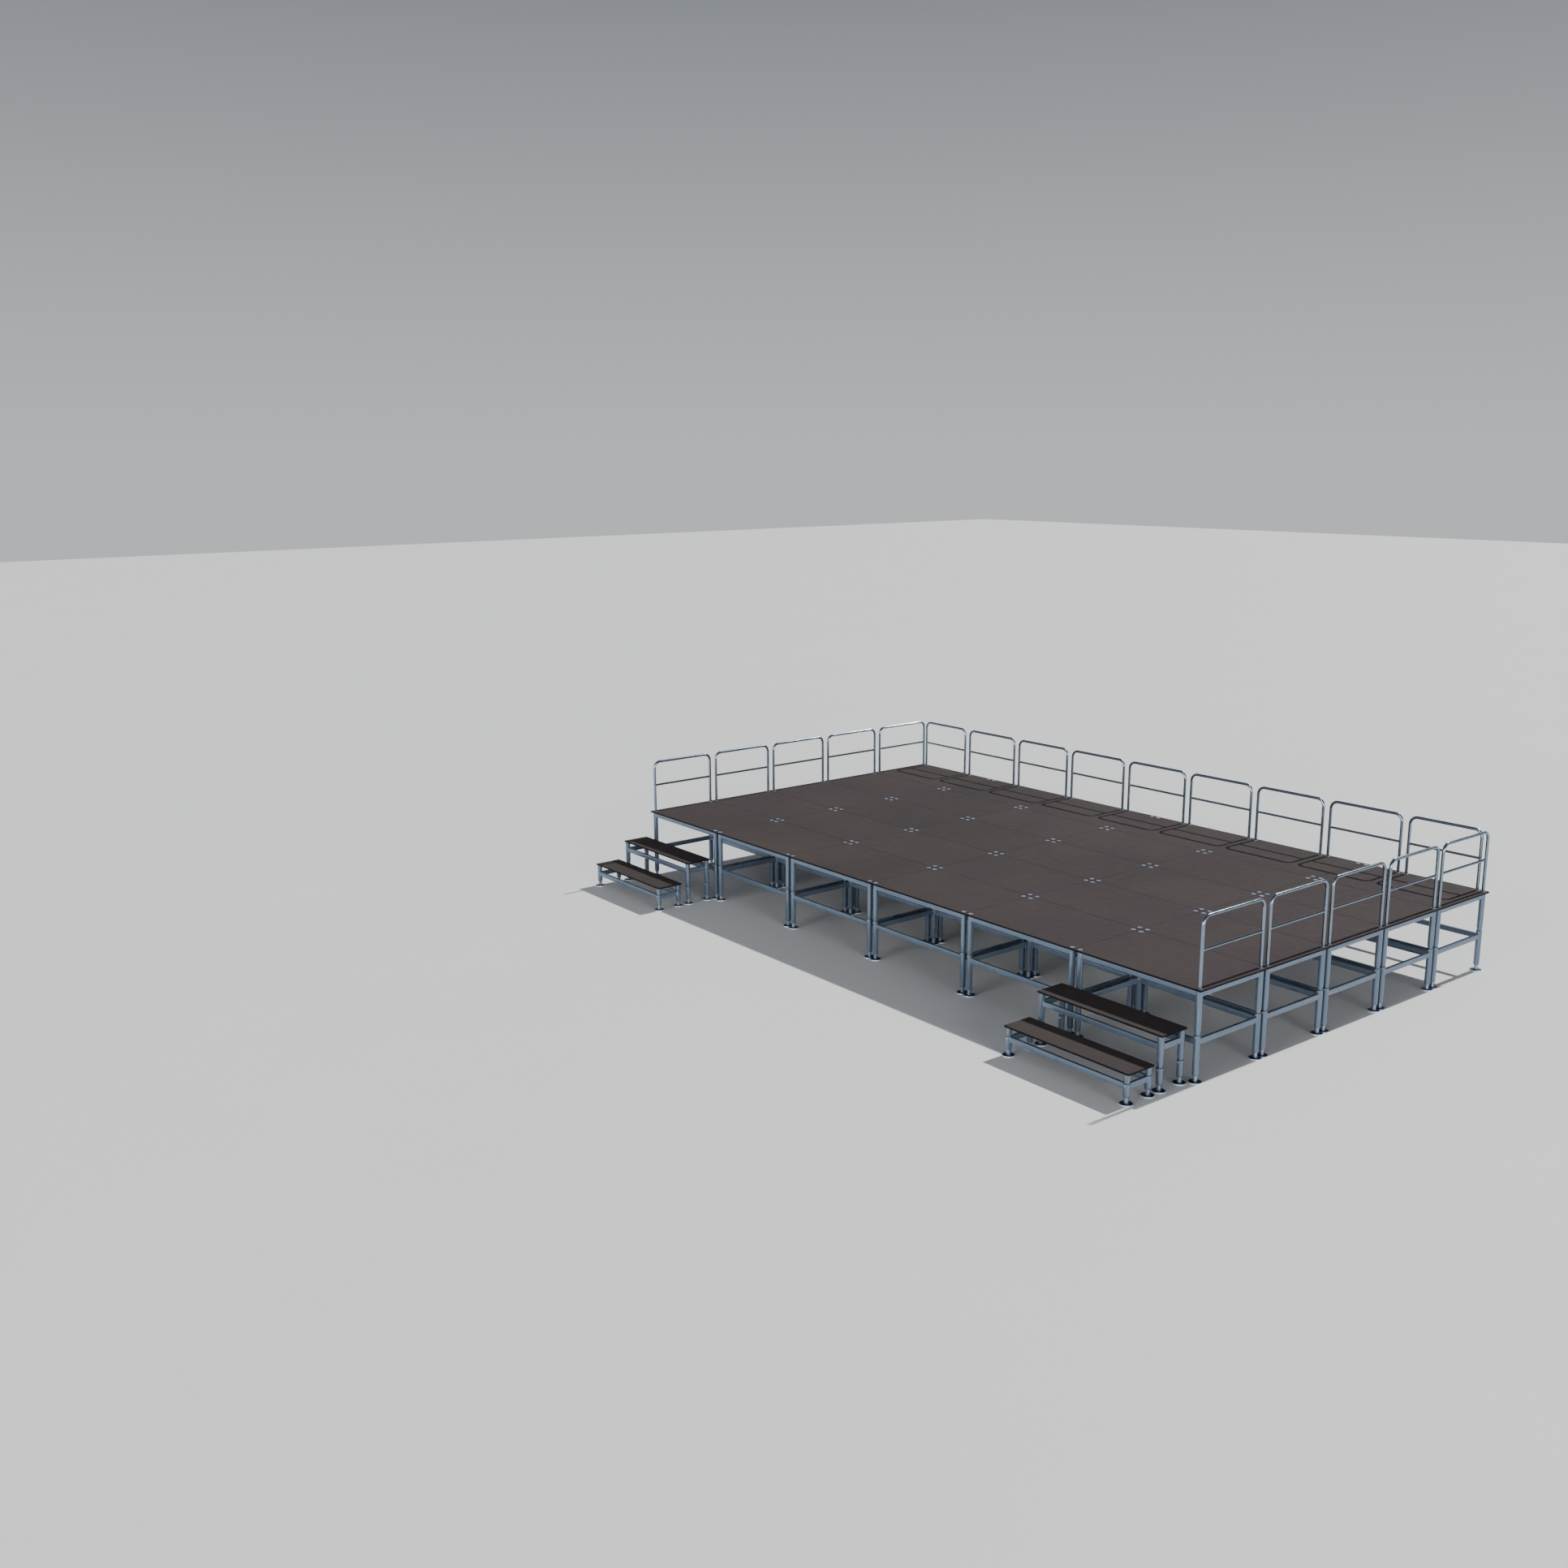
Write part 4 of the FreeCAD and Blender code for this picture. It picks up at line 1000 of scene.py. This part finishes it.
def rail_path(length, bottom, top, steps=14):
    """Centreline of the inverted U in the XZ plane, from one post's foot to the other."""
    post = [Vector((0, 0, height)) for height in (bottom, bottom + 0.004, (bottom + top) / 2)]
    bend_height = top - RAIL_BEND
    path = list(post)
    for centre, first in ((RAIL_BEND, 180), (length - RAIL_BEND, 90)):
        for step in range(steps + 1):
            angle = math.radians(first - 90 * step / steps)
            path.append(Vector((centre + RAIL_BEND * math.cos(angle), 0,
                                bend_height + RAIL_BEND * math.sin(angle))))
    return path + [point + Vector((length, 0, 0)) for point in reversed(post)]


def mid_rail(length, height):
    """Straight mid rail, its ends shaped to the posts and held by weld beads."""
    outer, inner = ([(across, height + up) for across, up in circle(radius)]
                    for radius in (MID_RAIL_RADIUS, MID_RAIL_RADIUS - RAIL_WALL))
    rail = coped_bar(length, outer, inner, RAIL_RADIUS)
    return rail.add_shape(bar_weld(length, outer, RAIL_RADIUS))


def make_rail(rail):
    """One guard rail: the bent tube with its mid rail, along X or turned along Y."""
    low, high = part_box(rail)
    (x, y), (far_x, far_y), along_x = rail_posts(rail)
    length = far_x - x if along_x else far_y - y
    path = rail_path(length, low.z, high.z - RAIL_RADIUS)
    shape = tube_along(path, Vector((0, 1, 0)), RAIL_RADIUS, RAIL_RADIUS - RAIL_WALL)
    shape.add_shape(mid_rail(length, DECK_TOP + MID_RAIL_ABOVE_DECK))
    placed = Shape().add_shape(shape, at(x, y, 0, 0 if along_x else 90))
    make_piece(f"{rail}_tube", placed, [ZINC_RAIL, WELD], rail, [rail])


# ---------------------------------------------------------------- studio

# The camera was fitted to the photo: metres, degrees, and millimetres for the lens.
CAMERA_PLACE = (12.442, -12.853, 5.610)
CAMERA_AZIMUTH = 52.332
CAMERA_ELEVATION = 12.289
CAMERA_ROLL = -0.366
CAMERA_LENS = 34.98
CAMERA_SENSOR = 36
FLOOR_SIZE = 160
SUN_DISTANCE = 30


def make_camera():
    """The photo's viewpoint."""
    data = bpy.data.cameras.new("camera")
    data.lens = CAMERA_LENS
    data.sensor_width = CAMERA_SENSOR
    data.clip_end = 400
    camera = bpy.data.objects.new("camera", data)
    bpy.context.scene.collection.objects.link(camera)
    camera.location = CAMERA_PLACE
    turn = Matrix.Rotation(math.radians(CAMERA_AZIMUTH), 4, "Z")
    tilt = Matrix.Rotation(math.radians(90 - CAMERA_ELEVATION), 4, "X")
    roll = Quaternion((0, 0, 1), math.radians(CAMERA_ROLL)).to_matrix().to_4x4()
    camera.rotation_mode = "QUATERNION"
    camera.rotation_quaternion = (turn @ tilt @ roll).to_quaternion()
    bpy.context.scene.camera = camera


def make_floor():
    """Plain pale floor, large enough to reach the horizon."""
    mesh = bpy.data.meshes.new("floor")
    half = FLOOR_SIZE / 2
    corners = [(-half, -half, 0), (half, -half, 0), (half, half, 0), (-half, half, 0)]
    mesh.from_pydata(corners, [], [(0, 1, 2, 3)])
    make = Nodes("floor_pale", 0.0, 0.7)
    make.colour(make.blended(make.noise(0.4, 3.0), (0.70, 0.70, 0.70, 1), (0.73, 0.73, 0.73, 1)))
    mesh.materials.append(make.material)
    floor = bpy.data.objects.new("floor", mesh)
    bpy.context.scene.collection.objects.link(floor)


def make_world():
    """Soft studio dome: palest at the horizon, dimmer above, so that the deck's shadows stay deep."""
    world = bpy.data.worlds.new("studio")
    bpy.context.scene.world = world
    world.use_nodes = True
    tree = world.node_tree
    place = tree.nodes.new("ShaderNodeTexCoord")
    split = tree.nodes.new("ShaderNodeSeparateXYZ")
    ramp = tree.nodes.new("ShaderNodeValToRGB")
    tree.links.new(place.outputs["Generated"], split.inputs[0])
    tree.links.new(split.outputs["Z"], ramp.inputs[0])
    colours = ((0.0, (0.58, 0.59, 0.61, 1)), (0.10, (0.46, 0.48, 0.51, 1)),
               (0.35, (0.15, 0.165, 0.19, 1)), (1.0, (0.16, 0.175, 0.20, 1)))
    ramp.color_ramp.elements.new(0.3)
    ramp.color_ramp.elements.new(0.6)
    for element, (height, colour) in zip(ramp.color_ramp.elements, colours):
        element.position = height
        element.color = colour
    tree.links.new(ramp.outputs["Color"], tree.nodes["Background"].inputs["Color"])


def make_sun(name, energy, azimuth, elevation, width):
    """Light from far away; azimuth 0 is behind the object, 90 at its left, 180 in front of it."""
    data = bpy.data.lights.new(name, "SUN")
    data.energy = energy
    data.angle = math.radians(width)
    light = bpy.data.objects.new(name, data)
    bpy.context.scene.collection.objects.link(light)
    azimuth, elevation = math.radians(azimuth), math.radians(elevation)
    towards = Vector((-math.cos(elevation) * math.sin(azimuth),
                      math.cos(elevation) * math.cos(azimuth), math.sin(elevation)))
    light.location = towards * SUN_DISTANCE
    light.rotation_euler = (-towards).to_track_quat("-Z", "Y").to_euler()
    light.visible_camera = False


def make_lights():
    """A key from behind the back rails and two wide low fills that reach in under the deck."""
    make_sun("key", 4.6, 0, 47, 1.2)
    make_sun("front_fill", 2.3, 184, 7, 30)
    make_sun("right_fill", 2.7, 258, 5, 30)


# ---------------------------------------------------------------- everything

def make_stage(sleeve_bottom):
    """The deck on its legs and feet."""
    make_deck()
    make_stage_bars()
    make_legs("stage_", STAGE_LEGS, "leg_tubes", "leg_sleeves", "deck", "leg_base", STAGE_NECK, False)
    make_sockets()
    make_socket_caps()
    make_clamp_bolts()
    finish_clamps()
    for row in range(MODULES_DEEP):
        front = STAGE_Y + row * MODULE_Y
        places = [(x, y) for x, y in STAGE_LEGS if front < y < front + MODULE_Y]
        make_feet(f"foot_set_row_{row + 1}", f"levelling_feet_row_{row + 1}", places, STAGE_LEGS,
                  "feet", sleeve_bottom)


def make_table(table, sleeve_bottom):
    """One free-standing step table."""
    legs = table_legs(table)
    neck = LOWER_TABLE_NECK if "lower" in table else UPPER_TABLE_NECK
    make_tread(table)
    make_tread_caps(table)
    make_table_braces(table)
    make_legs(f"{table}_", legs, f"{table}_leg_tubes", f"{table}_leg_sleeves",
              f"{table}_top", f"{table}_base", neck, True)
    make_feet(f"{table}_foot_set", f"{table}_feet", legs, legs, f"{table}_feet", sleeve_bottom)


make_camera()
make_floor()
make_world()
make_lights()
SLEEVE_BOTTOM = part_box("leg_sleeves")[0].z
make_stage(SLEEVE_BOTTOM)
for table_name in TABLES:
    make_table(table_name, SLEEVE_BOTTOM)
for rail_name in RAILS:
    make_rail(rail_name)
